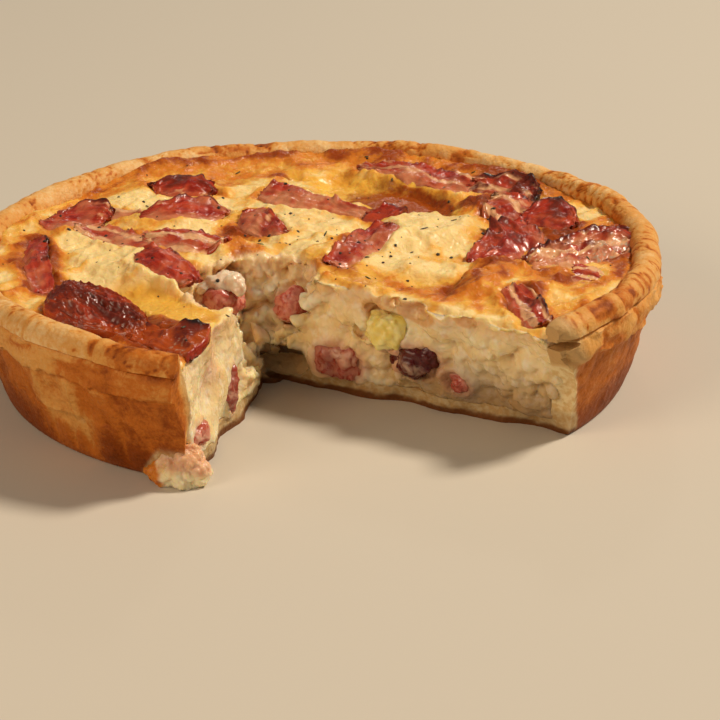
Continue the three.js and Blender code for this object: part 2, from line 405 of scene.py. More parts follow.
def pastry_material():
    """Baked shortcrust pastry: matt, finely cracked, golden, darker in its creases and on its high spots.

    Where it is cut or torn it is pale and crumbly; the soft dough inside the roll is nearly cream.
    """
    tree, where, (toast, crumb, dough, painted_shade) = new_material(
        "baked_shortcrust", "toast", "cut", "cream", "painted_shade"
    )
    fine = add(tree, "TexNoise", {}, {"Vector": where, "Scale": spots(1.1), "Detail": 5.0, "Roughness": 0.65})
    broad = add(tree, "TexNoise", {}, {"Vector": where, "Scale": spots(9.0), "Detail": 3.0})
    grains = add(tree, "TexNoise", {}, {"Vector": where, "Scale": spots(1.5), "Detail": 3.0})
    heat = add(tree, "Math", MULTIPLY_ADD, {0: fine, 1: 0.42, 2: toast})
    heat = add(tree, "Math", MULTIPLY_ADD, {0: broad, 1: 0.33, 2: heat})
    baked = browning(
        tree, heat, "#f0ca8e",
        (0.40, 0.68, "#e0a152"), (0.66, 0.90, "#c46e20"), (0.88, 1.16, "#8f4306"), (1.18, 1.48, "#521f04"),
    )
    crumbs = browning(tree, grains, "#dcb678", (0.35, 0.65, "#f0d9a6"))
    base = add(tree, "Mix", TINTS, {0: crumb, 6: baked, 7: crumbs}, 2)
    base = add(tree, "Mix", TINTS, {0: dough, 6: base, 7: "#c9a067"}, 2)
    # Painted shade: darker brown where the cut pastry meets the floor and low beside the right-hand cut.
    base = browning(tree, painted_shade, base, (0.0, 1.0, "#704019"))
    roughness = add(tree, "MapRange", SOFT, {0: fine, 1: 0.3, 2: 0.7, 3: 0.42, 4: 0.62})
    dimples = add(
        tree, "TexNoise", {},
        {"Vector": where, "Scale": spots(3.0), "Detail": 3.0, "Roughness": 0.6},
    )
    return made_of(
        tree, ((fine, 0.32), (dimples, 0.60)), base=base, roughness=roughness, shine=0.2,
        soak=0.10, soak_depth=(2.0 * MM, 1.0 * MM, 0.4 * MM),
    )


def bacon_material():
    """Baked smoked bacon: red lean with streaks of clear fat, shiny with melted fat, charred at the edges."""
    tree, where, (char, fat, pale, ash, amber) = new_material(
        "baked_bacon", "toast", "cream", "pale", "ash", "amber"
    )
    strip = add(tree, "UVMap", {"uv_map": "strip"}, {})
    along = add(tree, "Mapping", {}, {"Vector": strip, "Scale": (1 / FIBRE_STRETCH, 1.0, 1.0)})
    fibres = add(
        tree, "TexNoise", {},
        {"Vector": along, "Scale": FIBRES_PER_MM, "Detail": 4.0, "Roughness": 0.6, "Distortion": 0.4},
    )
    specks = add(
        tree, "TexNoise", {},
        {"Vector": where, "Scale": spots(2.4), "Detail": 3.0, "Roughness": 0.6},
    )
    broad = add(tree, "TexNoise", {}, {"Vector": where, "Scale": spots(6.0), "Detail": 2.0})
    crackle = add(tree, "TexNoise", {}, {"Vector": where, "Scale": spots(1.1), "Detail": 3.0})
    lean = browning(tree, fibres, "#8a1706", (0.34, 0.66, "#b83a20"))
    lean = browning(tree, broad, lean, (0.45, 0.80, "#c65a30"))
    lean = browning(tree, pale, lean, (0.0, 1.25, "#d28a60"))
    lean = browning(tree, amber, lean, (0.0, 1.0, "#a8460c"))
    streaks = add(tree, "Math", MULTIPLY_ADD, {0: fibres, 1: 0.9, 2: fat})
    meat = browning(tree, streaks, lean, (0.87, 1.25, "#e6b080"))
    burnt = add(tree, "Math", MULTIPLY_ADD, {0: specks, 1: 0.7, 2: char})
    meat = browning(tree, burnt, meat, (0.63, 0.97, "#6f2108"), (1.01, 1.40, "#1f0e0a"))
    flaked = add(tree, "Math", {"operation": "MULTIPLY"}, {0: crackle, 1: ash})
    meat = browning(tree, flaked, meat, (0.42, 0.64, "#b5a189"))
    roughness = add(tree, "MapRange", SOFT, {0: specks, 1: 0.3, 2: 0.7, 3: 0.18, 4: 0.42})
    return made_of(
        tree, ((fibres, 0.18), (crackle, 0.18)), base=meat, roughness=roughness, shine=0.4,
        coat=0.3, coat_roughness=0.12, soak=0.15, soak_depth=(2.0 * MM, 0.5 * MM, 0.3 * MM),
    )


def ham_material():
    """Cooked bacon lardon: moist pink meat with fine fibres and a seam of soft white fat."""
    tree, where, (fat, deep) = new_material("cooked_lardon", "cream", "deep")
    fibre = add(
        tree, "TexNoise", {},
        {"Vector": where, "Scale": spots(2.0), "Detail": 3.0, "Roughness": 0.5, "Distortion": 0.8},
    )
    lean = browning(tree, fibre, "#b4503f", (0.35, 0.68, "#d48c74"))
    lean = browning(tree, deep, lean, (0.0, 1.0, "#560d08"))
    fatty = add(tree, "Math", MULTIPLY_ADD, {0: fibre, 1: 0.35, 2: fat})
    base = browning(tree, fatty, lean, (1.0, 1.35, "#ecccae"))
    roughness = add(tree, "MapRange", SOFT, {0: fibre, 1: 0.3, 2: 0.7, 3: 0.20, 4: 0.4})
    return made_of(
        tree, ((fibre, 0.15),), base=base, roughness=roughness,
        soak=0.4, soak_depth=(3.0 * MM, 1.0 * MM, 0.7 * MM),
    )


def cheese_material():
    """Melted mild cheese: smooth, even yellow, soft and slightly clear."""
    tree, where, _ = new_material("melted_cheese")
    cloud = add(tree, "TexNoise", {}, {"Vector": where, "Scale": spots(3.0), "Detail": 2.0})
    base = browning(tree, cloud, "#f7db6e", (0.30, 0.70, "#fbe99c"))
    roughness = add(tree, "MapRange", SOFT, {0: cloud, 1: 0.3, 2: 0.7, 3: 0.18, 4: 0.32})
    return made_of(
        tree, ((cloud, 0.3),), base=base, roughness=roughness,
        soak=0.4, soak_depth=(3.0 * MM, 2.0 * MM, 0.7 * MM),
    )


def fat_material():
    """Soft cooked bacon fat: milky, wet and slightly clear."""
    tree, where, _ = new_material("soft_bacon_fat")
    cloud = add(tree, "TexNoise", {}, {"Vector": where, "Scale": spots(2.0), "Detail": 3.0})
    base = browning(tree, cloud, "#ecd9bc", (0.40, 0.75, "#dfb793"))
    roughness = add(tree, "MapRange", SOFT, {0: cloud, 1: 0.3, 2: 0.7, 3: 0.15, 4: 0.3})
    return made_of(
        tree, ((cloud, 0.3),), base=base, roughness=roughness,
        soak=0.5, soak_depth=(3.0 * MM, 2.0 * MM, 1.5 * MM),
    )


def pepper_material():
    """Cracked black pepper: dark, matt husk with paler broken sides."""
    tree, where, _ = new_material("cracked_black_pepper")
    chips = add(tree, "TexNoise", {}, {"Vector": where, "Scale": spots(0.6), "Detail": 2.0})
    base = browning(tree, chips, "#17110d", (0.40, 0.70, "#4b3623"))
    roughness = add(tree, "MapRange", SOFT, {0: chips, 1: 0.3, 2: 0.7, 3: 0.5, 4: 0.8})
    return made_of(tree, base=base, roughness=roughness)


def herb_material():
    """Dried chive and thyme: thin dull green slivers, browned in the oven."""
    tree, where, _ = new_material("dried_herb")
    fade = add(tree, "TexNoise", {}, {"Vector": where, "Scale": spots(1.0), "Detail": 2.0})
    base = browning(tree, fade, "#2a2a16", (0.35, 0.70, "#5a5a2c"))
    roughness = add(tree, "MapRange", SOFT, {0: fade, 1: 0.3, 2: 0.7, 3: 0.45, 4: 0.7})
    return made_of(tree, base=base, roughness=roughness)


# ---- the cut ----
def cut_relief(along, height):
    """How far a cut face stands out, in the same slow waves as the CAD cut."""
    return CUT_RELIEF * (
        0.6 * np.sin(along / 5.1 + height / 4.3) + 0.4 * np.sin(along / 2.9 - height / 3.7 + 1)
    )


def right_cut(height):
    """The heading of the right-hand cut, which leans as it rises."""
    share = np.clip(height / RIM_HEIGHT, 0, 1)
    return CUT_RIGHT_LOW + (CUT_RIGHT_HIGH - CUT_RIGHT_LOW) * share


def behind_cuts(co):
    """How far each point lies behind the right cut and behind the left cut, in the food."""
    dx, dy = co[:, 0] - APEX[0], co[:, 1] - APEX[1]
    right = right_cut(co[:, 2])
    behind_right = dy * np.cos(right) - dx * np.sin(right)
    behind_left = dx * math.sin(CUT_LEFT) - dy * math.cos(CUT_LEFT)
    return behind_right, behind_left


def slab(name, cuts):
    """A closed block of small faces, and where each vertex lies in it from 0 to 1 on each axis."""
    bm = bmesh.new()
    bmesh.ops.create_cube(bm, size=1.0, matrix=Matrix.Translation((0.5, 0.5, 0.5)))
    for axis, count in enumerate(cuts):
        edges = [e for e in bm.edges if abs((e.verts[1].co - e.verts[0].co)[axis]) > 0.5]
        bmesh.ops.subdivide_edges(bm, edges=edges, cuts=max(1, math.ceil(count)) - 1, use_grid_fill=True)
    block = thing(name, bm)
    return block, positions(block.data)


def slice_cutter(fineness, crumbly=0.0):
    """The wedge that was taken out, with the same uneven faces as the CAD cut, and crumbly ones if asked."""
    low, high, round_off = -5.0, 48.0, 3.0
    cutter, at = slab("slice_cutter", (CUT_REACH / fineness, 4, (high - low) / fineness))
    height = low + (high - low) * at[:, 2]
    across = at[:, 1]
    angle = CUT_LEFT + (right_cut(height) - CUT_LEFT) * across
    reach = round_off + at[:, 0] * CUT_REACH
    side = (2 * across - 1) * cut_relief(reach, height)
    place = rows(reach, 40 * across, height)
    side += crumbly * (2 * across - 1) * (lumps(place, 2.6, 5) - 0.5 + 0.6 * rough(place, 2.0, 9))
    x = APEX[0] + reach * np.cos(angle) - side * np.sin(angle)
    y = APEX[1] + reach * np.sin(angle) + side * np.cos(angle)
    moved(cutter.data, rows(x, y, height))
    return cutter


def hollow(centre, radii, detail=4, ragged=0.4):
    """An uneven egg-shaped hole to carve out."""
    bm = bmesh.new()
    place = Matrix.Translation(centre) @ Matrix.Diagonal((*radii, 1.0))
    bmesh.ops.create_icosphere(bm, subdivisions=detail, radius=1.0, matrix=place)
    made = thing("hollow", bm)
    co, no = positions(made.data), normals(made.data)
    moved(made.data, co + no * (ragged * rough(co, 6.0, 70) + 0.3 * ragged * rough(co, 2.0, 71))[:, None])
    return made


def spun(profile, steps):
    """A closed solid turned about Z from a profile that starts and ends on the axis."""
    bm = bmesh.new()
    corners = [bm.verts.new((r, 0.0, z)) for r, z in profile]
    for a, b in zip(corners, corners[1:]):
        bm.edges.new((a, b))
    bmesh.ops.spin(
        bm, geom=bm.verts[:] + bm.edges[:], cent=(0, 0, 0), axis=(0, 0, 1),
        angle=2 * math.pi, steps=steps, use_merge=True,
    )
    bmesh.ops.remove_doubles(bm, verts=bm.verts[:], dist=1e-4)
    bmesh.ops.recalc_face_normals(bm, faces=bm.faces[:])
    return bm


def spaced(points, gap):
    """Points along a broken line, no further apart than gap."""
    out = [points[0]]
    for a, b in zip(points, points[1:]):
        pieces = max(1, math.ceil(math.dist(a, b) / gap))
        out += [tuple(np.array(a) + (np.array(b) - np.array(a)) * k / pieces) for k in range(1, pieces + 1)]
    return out


# ---- the custard ----
TORN = ((0.0, -28.0, 38.0), (15.0, 19.0, 31.0))  # where the custard came away with the slice's tip
UNDERCUT = ((0.0, -15.0, 6.0), (9.0, 7.0, 4.8))
BURIED = {  # the pieces that show in the cut faces: how far each is moved, and how much it swells
    "lardon_right_large": ((0.5, 0.0, 0), 1.3), "lardon_right_dark": ((-2.0, -0.3, 0), 1.6),
    "lardon_right_red": ((-0.5, 0.4, 0), 1.0), "lardon_right_small": ((0, 0.6, 0.5), 1.3),
    "lardon_hollow": ((0.4, 0.4, 0.4), 1.0), "lardon_left_slice": ((0.3, 0, 0), 0.95),
    "lardon_left_low": ((0.1, 0, 0), 1.0), "cheese_cube": ((0, -1.9, 0), 1.2),
}
PITS = (  # small holes in the cut faces: centre and radii
    ((43.0, -18.6, 28.2), (5.2, 4.0, 3.0)),
    ((31.0, -16.6, 26.5), (3.2, 3.0, 2.4)),
    ((37.0, -16.8, 29.5), (2.0, 2.6, 1.4)),
    ((26.5, -16.0, 18.5), (2.6, 2.2, 2.8)),
    ((58.0, -18.5, 29.0), (2.6, 2.0, 1.8)),
    ((4.0, -14.5, 12.5), (2.0, 2.2, 2.2)),
    ((51.5, -17.5, 22.5), (1.6, 1.8, 1.4)),
    ((5.5, -36.0, 17.0), (1.8, 2.6, 2.0)),
    ((13.0, -68.0, 25.0), (1.4, 1.6, 1.8)),
)


def off_centre(co, centre, radii):
    """How far out of an egg shape each point lies: below 1 inside it."""
    return np.sqrt((((co - centre) / radii) ** 2).sum(axis=1))


def seat(name):
    """The middle and half size of a piece that shows in a cut face."""
    low, high = (np.array(corner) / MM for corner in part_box(name))
    shift, swelling = BURIED[name]
    return (low + high) / 2 + np.array(shift), swelling * (high - low) / 2


def rim_lift(angle):
    """How far the rim rises and dips round the quiche."""
    return RIM_RISE * np.cos(angle - RIM_HIGH_SIDE) + 0.4 * np.sin(7 * angle + 1)


def swell(x, y):
    """The slow waves of the top."""
    return 0.8 * np.sin(x / 9 + 0.7) * np.cos(y / 11 - 0.4) + 0.5 * np.sin((x + y) / 8 + 2)


# What the top shows, each as centre, half sizes, heading in degrees, and how strong it is.
POOLS = (  # smooth hollows where melted fat set golden
    ((-8, -52), (19, 7), -12, 1.0),
    ((-12, 49), (25, 10), -4, 2.4),
    ((-44, -54), (9, 5), -48, 0.9),
    ((40, -3), (9, 4), 0, 0.4),
    ((17, -10), (13, 4.5), -6, 0.5),
)
BUBBLED = (  # where the skin rose in soft, clear blisters
    ((-12, -12), (13, 8), -20, 1.0),
    ((4, 2), (11, 8), 10, 0.9),
    ((20, 52), (11, 9), 30, 1.0),
    ((50, 6), (8, 14), 15, 1.0),
    ((57, 28), (9, 12), 0, 1.0),
    ((64, -4), (10, 8), 0, 1.0),
    ((66, 14), (8, 9), 0, 1.0),
    ((42, -8), (22, 6), -8, 0.8),
    ((-24, 4), (10, 6), 0, 0.7),
    ((-54, -48), (10, 6), -48, 0.8),
    ((-52, 38), (12, 6), 20, 0.6),
)
MOUNDS = (  # where the filling swelled, in millimetres
    ((-34, -35), (22, 8), -14, 1.9),
    ((-58, -26), (9, 5), -40, 1.4),
    ((18, 27), (12, 15), -20, 2.6),
    ((-18, -40), (14, 3.6), -8, 1.6),
    ((20, 54), (9, 7), 30, 2.4),
    ((50, 8), (6.5, 14), 15, 2.2),
    ((-70, 6), (7, 14), 0, 1.6),
    ((-12, -14), (8, 6), -30, 1.8),
    ((2, 8), (6, 5), 10, 1.4),
    ((-48, 33), (20, 8), 30, 1.2),
    ((62, 8), (7, 7), 0, 1.6),
    ((56, 24), (5, 7), 0, 1.4),
    ((34, 4), (12, 5), 5, 0.9),
    ((-12, 18), (14, 5), 0, 1.0),
    ((-70, 40), (9, 18), 30, 1.3),
    ((-30, 76), (26, 6), 12, 1.4),
)
TOASTED = (
    ((-66, 36), (27, 17), 58, 0.46),
    ((-34, 70), (34, 13), 22, 0.44),
    ((0, 76), (34, 8), 0, 0.52),
    ((-50, 44), (9, 5), 20, 0.58),
    ((-10, 50), (14, 9), -4, 0.62),
    ((20, 54), (10, 9), 30, 0.60),
    ((20, 44), (9, 4), 30, 0.46),
    ((50, 8), (6, 13), 15, 0.56),
    ((58, 42), (14, 20), 25, 0.50),
    ((40, -8), (22, 5), -8, 0.40),
    ((34, 12), (6, 4), 30, 0.36),
    ((-4, -68), (18, 10), 8, 0.66),
    ((10, -75), (12, 6), 15, 0.78),
    ((-58, -42), (7, 18), 36, 0.56),
    ((-42, -56), (8, 6), -45, 0.62),
    ((-14, -12), (8, 6), -25, 0.46),
    ((-24, 2), (9, 5), -10, 0.42),
    ((0, 26), (10, 4), 0, 0.50),
    ((-12, 18), (5, 3), 0, 0.40),
    ((-66, -2), (8, 5), 0, 0.30),
    ((-76, 6), (5, 14), 0, 0.42),
    ((66, 36), (9, 14), -10, 0.46),
    ((64, 4), (5, 4), 0, 0.50),
    ((77, -2), (5, 9), 0, 0.48),
    ((72, 10), (4, 3), 30, 0.5),
    ((62, 15), (9, 8), 0, 0.54),
    ((66, -4), (9, 6), -20, 0.52),
    ((16, -11), (13, 5), -6, 0.40),
    ((50, -5), (14, 5), -8, 0.46),
    ((-2, 48), (14, 9), -10, 0.80),
    ((30, 36), (5, 12), 20, 0.5),
    ((72, 22), (5, 16), 0, 0.34),
    ((8, 8), (5, 4), 0, 0.34),
)
PALE = (
    ((18, 26), (12, 15), -20, 1.0),
    ((-36, -34), (24, 6.5), -13, 1.0),
    ((-18, -39), (13, 5), -8, 1.0),
    ((-50, 10), (16, 6), 20, 0.7),
    ((-10, 14), (12, 8), 0, 0.5),
    ((-62, 6), (12, 7), 20, 0.9),
    ((30, 4), (14, 9), 15, 0.6),
    ((-16, 20), (18, 6), -5, 0.85),
    ((-36, 20), (12, 5), 10, 0.8),
    ((73, 3), (5, 8), 20, 0.6),
    ((68, 26), (5, 7), 0, 0.8),
    ((-20, -4), (6, 5), 0, 0.5),
    ((58, 24), (4, 4), 0, 0.8),
)


def strongest(x, y, table, salt):
    """The strongest of a table's patches at each point of the top."""
    total = np.zeros(len(x))
    for number, (place, size, heading, strength) in enumerate(table):
        total = np.maximum(total, strength * patch(x, y, place, size, heading, salt=salt + number))
    return total


def skin_height(x, y):
    """The height of the custard's skin, before its finest wrinkles."""
    radius = np.hypot(x, y)
    height = FILL_HEIGHT - FILL_FALL * (radius / 81) ** 3 + swell(x, y)
    height = height + 0.4 * rim_lift(np.arctan2(y, x)) - 0.6
    height = height + 0.9 * rough(rows(x, y, 0.0), 13.0, 3)
    height = height - 1.5 * strongest(x, y, POOLS, 40)
    height = height + 0.9 * strongest(x, y, MOUNDS, 60)
    return height + 0.9 * step(radius, 74, 83)


def smooth_line(points, share):
    """A smooth curve through the points, read at shares from 0 to 1 of its length."""
    p = np.array(points, float)
    p = np.vstack([2 * p[0] - p[1], p, 2 * p[-1] - p[-2]])
    t = np.linspace(0, 1, 12, endpoint=False)[:, None]
    parts = [
        0.5 * (2 * b + (c - a) * t + (2 * a - 5 * b + 4 * c - d) * t**2 + (3 * b - 3 * c + d - a) * t**3)
        for a, b, c, d in zip(p, p[1:], p[2:], p[3:])
    ]
    line = np.vstack(parts + [p[-2:-1]])
    length = np.concatenate([[0], np.cumsum(np.hypot(*np.diff(line[:, :2], axis=0).T))])
    return np.stack([np.interp(share * length[-1], length, column) for column in line.T], axis=1), length[-1]


# Each strip: its name, its front and back edges as points (x, y, rise above the skin), and its looks.
# A name that ends in _baked stands for the CAD strip of that name.
RASHERS = (
    ("strip_rim_west_baked",
     [(-67, -36, 0.2), (-60, -46, 0.3), (-51, -55, 0.3), (-42, -63, 0.1)],
     [(-64, -31, 1), (-56, -39, 2.4), (-50, -46, 2.2), (-39, -56, 0.4)],
     dict(char=0.65, pale=0.15, ruffle=0.7, crease=0.8, salt=1)),
    ("strip_west_baked",
     [(-74, -24, 0.3), (-68, -26, 0.3), (-63, -22, 0.2), (-61, -13, 0.2)],
     [(-73, -15, 2), (-71, -7, 3.6), (-66, -4, 3.6), (-60, -7, 2.2)],
     dict(char=0.5, pale=0.4, salt=2)),
    ("strip_west_link",
     [(-62, -13, 0.2), (-57, -9, 0), (-51, -7, 0)],
     [(-64, -5, 1.2), (-59, -3, 0.7), (-53, -2, 0.8)],
     dict(char=0.1, pale=0.9, fat=0.3, thick=1.6, salt=3)),
    ("strip_northwest_baked",
     [(-53, -8, 0.2), (-46, -5, 0.2), (-39, 0, 0.2), (-35, 7, 0.2)],
     [(-53, -1, 1.5), (-49, 4, 3.2), (-44, 12, 3.4), (-36, 13, 2.2)],
     dict(char=0.45, pale=0.4, ruffle=0.6, salt=4)),
    ("curl_northwest_baked",
     [(-64, 14, 0.2), (-59, 12, 0.3), (-53, 15, 0.4), (-49, 20, 0.2)],
     [(-67, 17, 1.6), (-64, 24, 3), (-57, 26, 3.2), (-49, 24, 1.2)],
     dict(char=0.9, pale=0, ruffle=0.9, crease=1, arch=1.2, salt=5)),
    ("strip_pale_baked",
     [(-61, -24, 0.3), (-52, -25, 0.2), (-43, -27, 0.2), (-37, -25, 0.1)],
     [(-63, -17, 2.2), (-54, -15, 1.6), (-45, -15, 1.4), (-36, -17, 1)],
     dict(char=0.18, pale=0.75, fat=0.3, salt=6)),
    ("strip_red_upper_baked",
     [(-42, -22, 0.3), (-34, -24, 0.6), (-26, -24, 0.5), (-19, -18, 0.3)],
     [(-40, -13, 1.4), (-34, -8, 2.2), (-27, -6, 2.2), (-18, -10, 1.2)],
     dict(char=0.45, pale=0.5, fat=0.3, ruffle=0.9, crease=1.1, arch=0.6, salt=7)),
    ("strip_red_lower_baked",
     [(-31, -37, 0.2), (-24, -40, 0.3), (-16, -42, 0.3), (-10, -41, 0.1)],
     [(-32, -28, 1.6), (-26, -27, 2.2), (-18, -29, 1.8), (-9, -34, 0.8)],
     dict(char=0.42, pale=0, fat=0, ruffle=0.6, crease=0.9, salt=8)),
    ("strip_charred_baked",
     [(-5, -73, 0.4), (3, -75, 0.5), (11, -76, 0.6), (22, -77, 0.6)],
     [(-7, -64, 0.8), (1, -67, 0.9), (9, -65, 1.6), (20, -60, 2)],
     dict(char=1.15, pale=0.2, fat=0, ash=0.8, amber=1.0, ruffle=0.8, crease=1.2, thick=2.4,
          pointed=0.8, salt=10, meets_cut=True)),
    ("piece_middle_baked",
     [(-30, 5, 0.2), (-24, 3, 0.2), (-16, 1, 0.2), (-11, 2, 0.1)],
     [(-31, 13, 1.4), (-28, 16, 2.2), (-20, 12, 2.2), (-13, 7, 1.2)],
     dict(char=0.35, pale=0.6, ruffle=0.8, crease=0.9, arch=0.5, salt=11)),
    ("strip_long_baked",
     [(-37, 25, 0.3), (-26, 22, 0.3), (-16, 25, 0.3), (-7, 26, 0.3), (2, 25, 0.4)],
     [(-38, 31, 1.8), (-33, 35, 2.6), (-23, 32, 2.3), (-12, 32, 2.2), (0, 31, 2.2)],
     dict(char=0.05, pale=1.1, fat=0.05, ruffle=0.7, crease=0.5, salt=12)),
    ("strip_long_end",
     [(-2, 24, 0.6), (3, 25, 0.9), (8, 27, 0.5)],
     [(-1, 30, 3.6), (3, 33, 4.6), (9, 31, 2.4)],
     dict(char=0.6, pale=0, fat=0, thick=2.6, salt=13)),
    ("strip_peppered_baked",
     [(17, -9, 0.3), (18, -2, 0.3), (17, 7, 0.3), (15, 20, 0.3)],
     [(9, -10, 1), (8, 0, 2), (6, 10, 2), (5, 21, 1.4)],
     dict(char=0.3, pale=0.6, fat=0.05, ruffle=0.7, crease=0.7, salt=14)),
    ("strip_rim_north_baked",
     [(-30, 63, 0.3), (-16, 60, 0.4), (-4, 59, 0.4), (8, 59, 0.3)],
     [(-31, 67, 1.6), (-20, 69, 2.4), (-8, 71, 2.4), (7, 70, 2)],
     dict(char=0.3, pale=0.7, fat=0.25, ruffle=0.9, crease=0.9, salt=15)),
    ("curl_north_baked",
     [(6, 62, 0.5), (13, 63, 1), (21, 62, 0.9), (29, 61, 0.4)],
     [(7, 69, 2), (14, 74, 3.6), (21, 74, 3.6), (28, 68, 2.2)],
     dict(char=1.1, pale=0.3, fat=0.3, ash=0.7, ruffle=1.3, crease=1.6, salt=16)),
    ("ham_north",
     [(22, 46, 0.2), (29, 40, 0.4), (35, 39, 0.3)],
     [(18, 60, 1.6), (26, 61, 1.8), (34, 56, 1.6)],
     dict(char=0.6, pale=0.3, fat=0.3, ruffle=1, crease=1.2, salt=17, slot="ham")),
    ("strip_bright_baked",
     [(34, 46, 0.5), (39, 45, 0.6), (44, 45, 0.6), (49, 47, 0.4)],
     [(33, 52, 2.6), (36, 58, 4.4), (43, 58, 4.6), (49, 52, 2.6)],
     dict(char=0.75, pale=0, fat=0, ruffle=0.7, thick=2.6, salt=18)),
    ("strip_east_baked",
     [(45, 12, 0.2), (48, 22, 0.4), (49, 32, 0.4), (46, 42, 0.3)],
     [(37, 14, 1.4), (35, 27, 2.8), (33, 36, 2.8), (34, 46, 2)],
     dict(char=0.8, pale=0.1, fat=0.1, ruffle=1.2, crease=1.6, salt=19)),
    ("strip_flaky_baked",
     [(58, 16, 0.3), (64, 26, 0.4), (68, 38, 0.5), (70, 48, 0.4)],
     [(48, 24, 1.6), (51, 36, 2.4), (56, 48, 3), (63, 56, 2.2)],
     dict(char=0.7, pale=1.0, fat=0.3, ash=0.9, ruffle=1.6, crease=2.0, salt=20)),
    ("flaky_tip",
     [(55, 44, 1.6), (59, 47, 2.2), (63, 49, 2.4), (67, 50.5, 2.4)],
     [(54, 47, 3.2), (58, 50, 3.8), (62, 52, 3.4), (67, 51.5, 2.7)],
     dict(char=1, pale=0.2, fat=0, thick=1.4, pointed=0.05, salt=21)),
    ("curl_by_cut_baked",
     [(58, -3, 0.3), (66, -10, 0.5), (74, -16, 0.4)],
     [(62, 4, 1.2), (71, -3, 1.8), (80, -11, 1.6)],
     dict(char=0.75, pale=0.3, fat=0.35, ruffle=1, crease=1.8, thick=1.5, salt=22, meets_cut=True)),
    ("piece_east_baked",
     [(65, 18, 0.2), (69, 15, 0.2), (73, 17, 0.1)],
     [(64, 25, 0.9), (69, 27, 1.1), (73, 25, 0.8)],
     dict(char=0.1, pale=0.9, fat=0.4, salt=23)),
)


def bacon_distance(x, y):
    """How far each point of the top lies outside the nearest bacon, in millimetres, and below 0 under it."""
    away = np.hypot((x - BLISTER_X) / 1.5, y - BLISTER_Y) - 10.5
    for _, front, back, _ in RASHERS:
        low, high = (smooth_line(edge, np.linspace(0.04, 0.96, 18))[0][:, :2] for edge in (front, back))
        reach = 1.1 * max(math.dist(low[0], low[1]), math.dist(high[0], high[1]))
        for a, b in zip(low, high):
            inset = (b - a) * min(0.45, reach / math.dist(a, b))
            a, side = a + inset, b - a - 2 * inset
            share = np.clip(((x - a[0]) * side[0] + (y - a[1]) * side[1]) / (side @ side), 0, 1)
            away = np.minimum(away, np.hypot(x - a[0] - share * side[0], y - a[1] - share * side[1]) - reach)
    return away


def custard_regions(mesh):
    """How far each vertex lies behind either cut, and how surely it is on the torn end and on the top."""
    co, no = positions(mesh), normals(mesh)
    behind_right, behind_left = behind_cuts(co)
    torn = 1 - step(off_centre(co, *TORN), 1.02, 1.14)
    lid = step(no[:, 2], 0.45, 0.8) * step(co[:, 2], 25, 27.5) * (1 - torn)
    return behind_right, behind_left, torn, lid


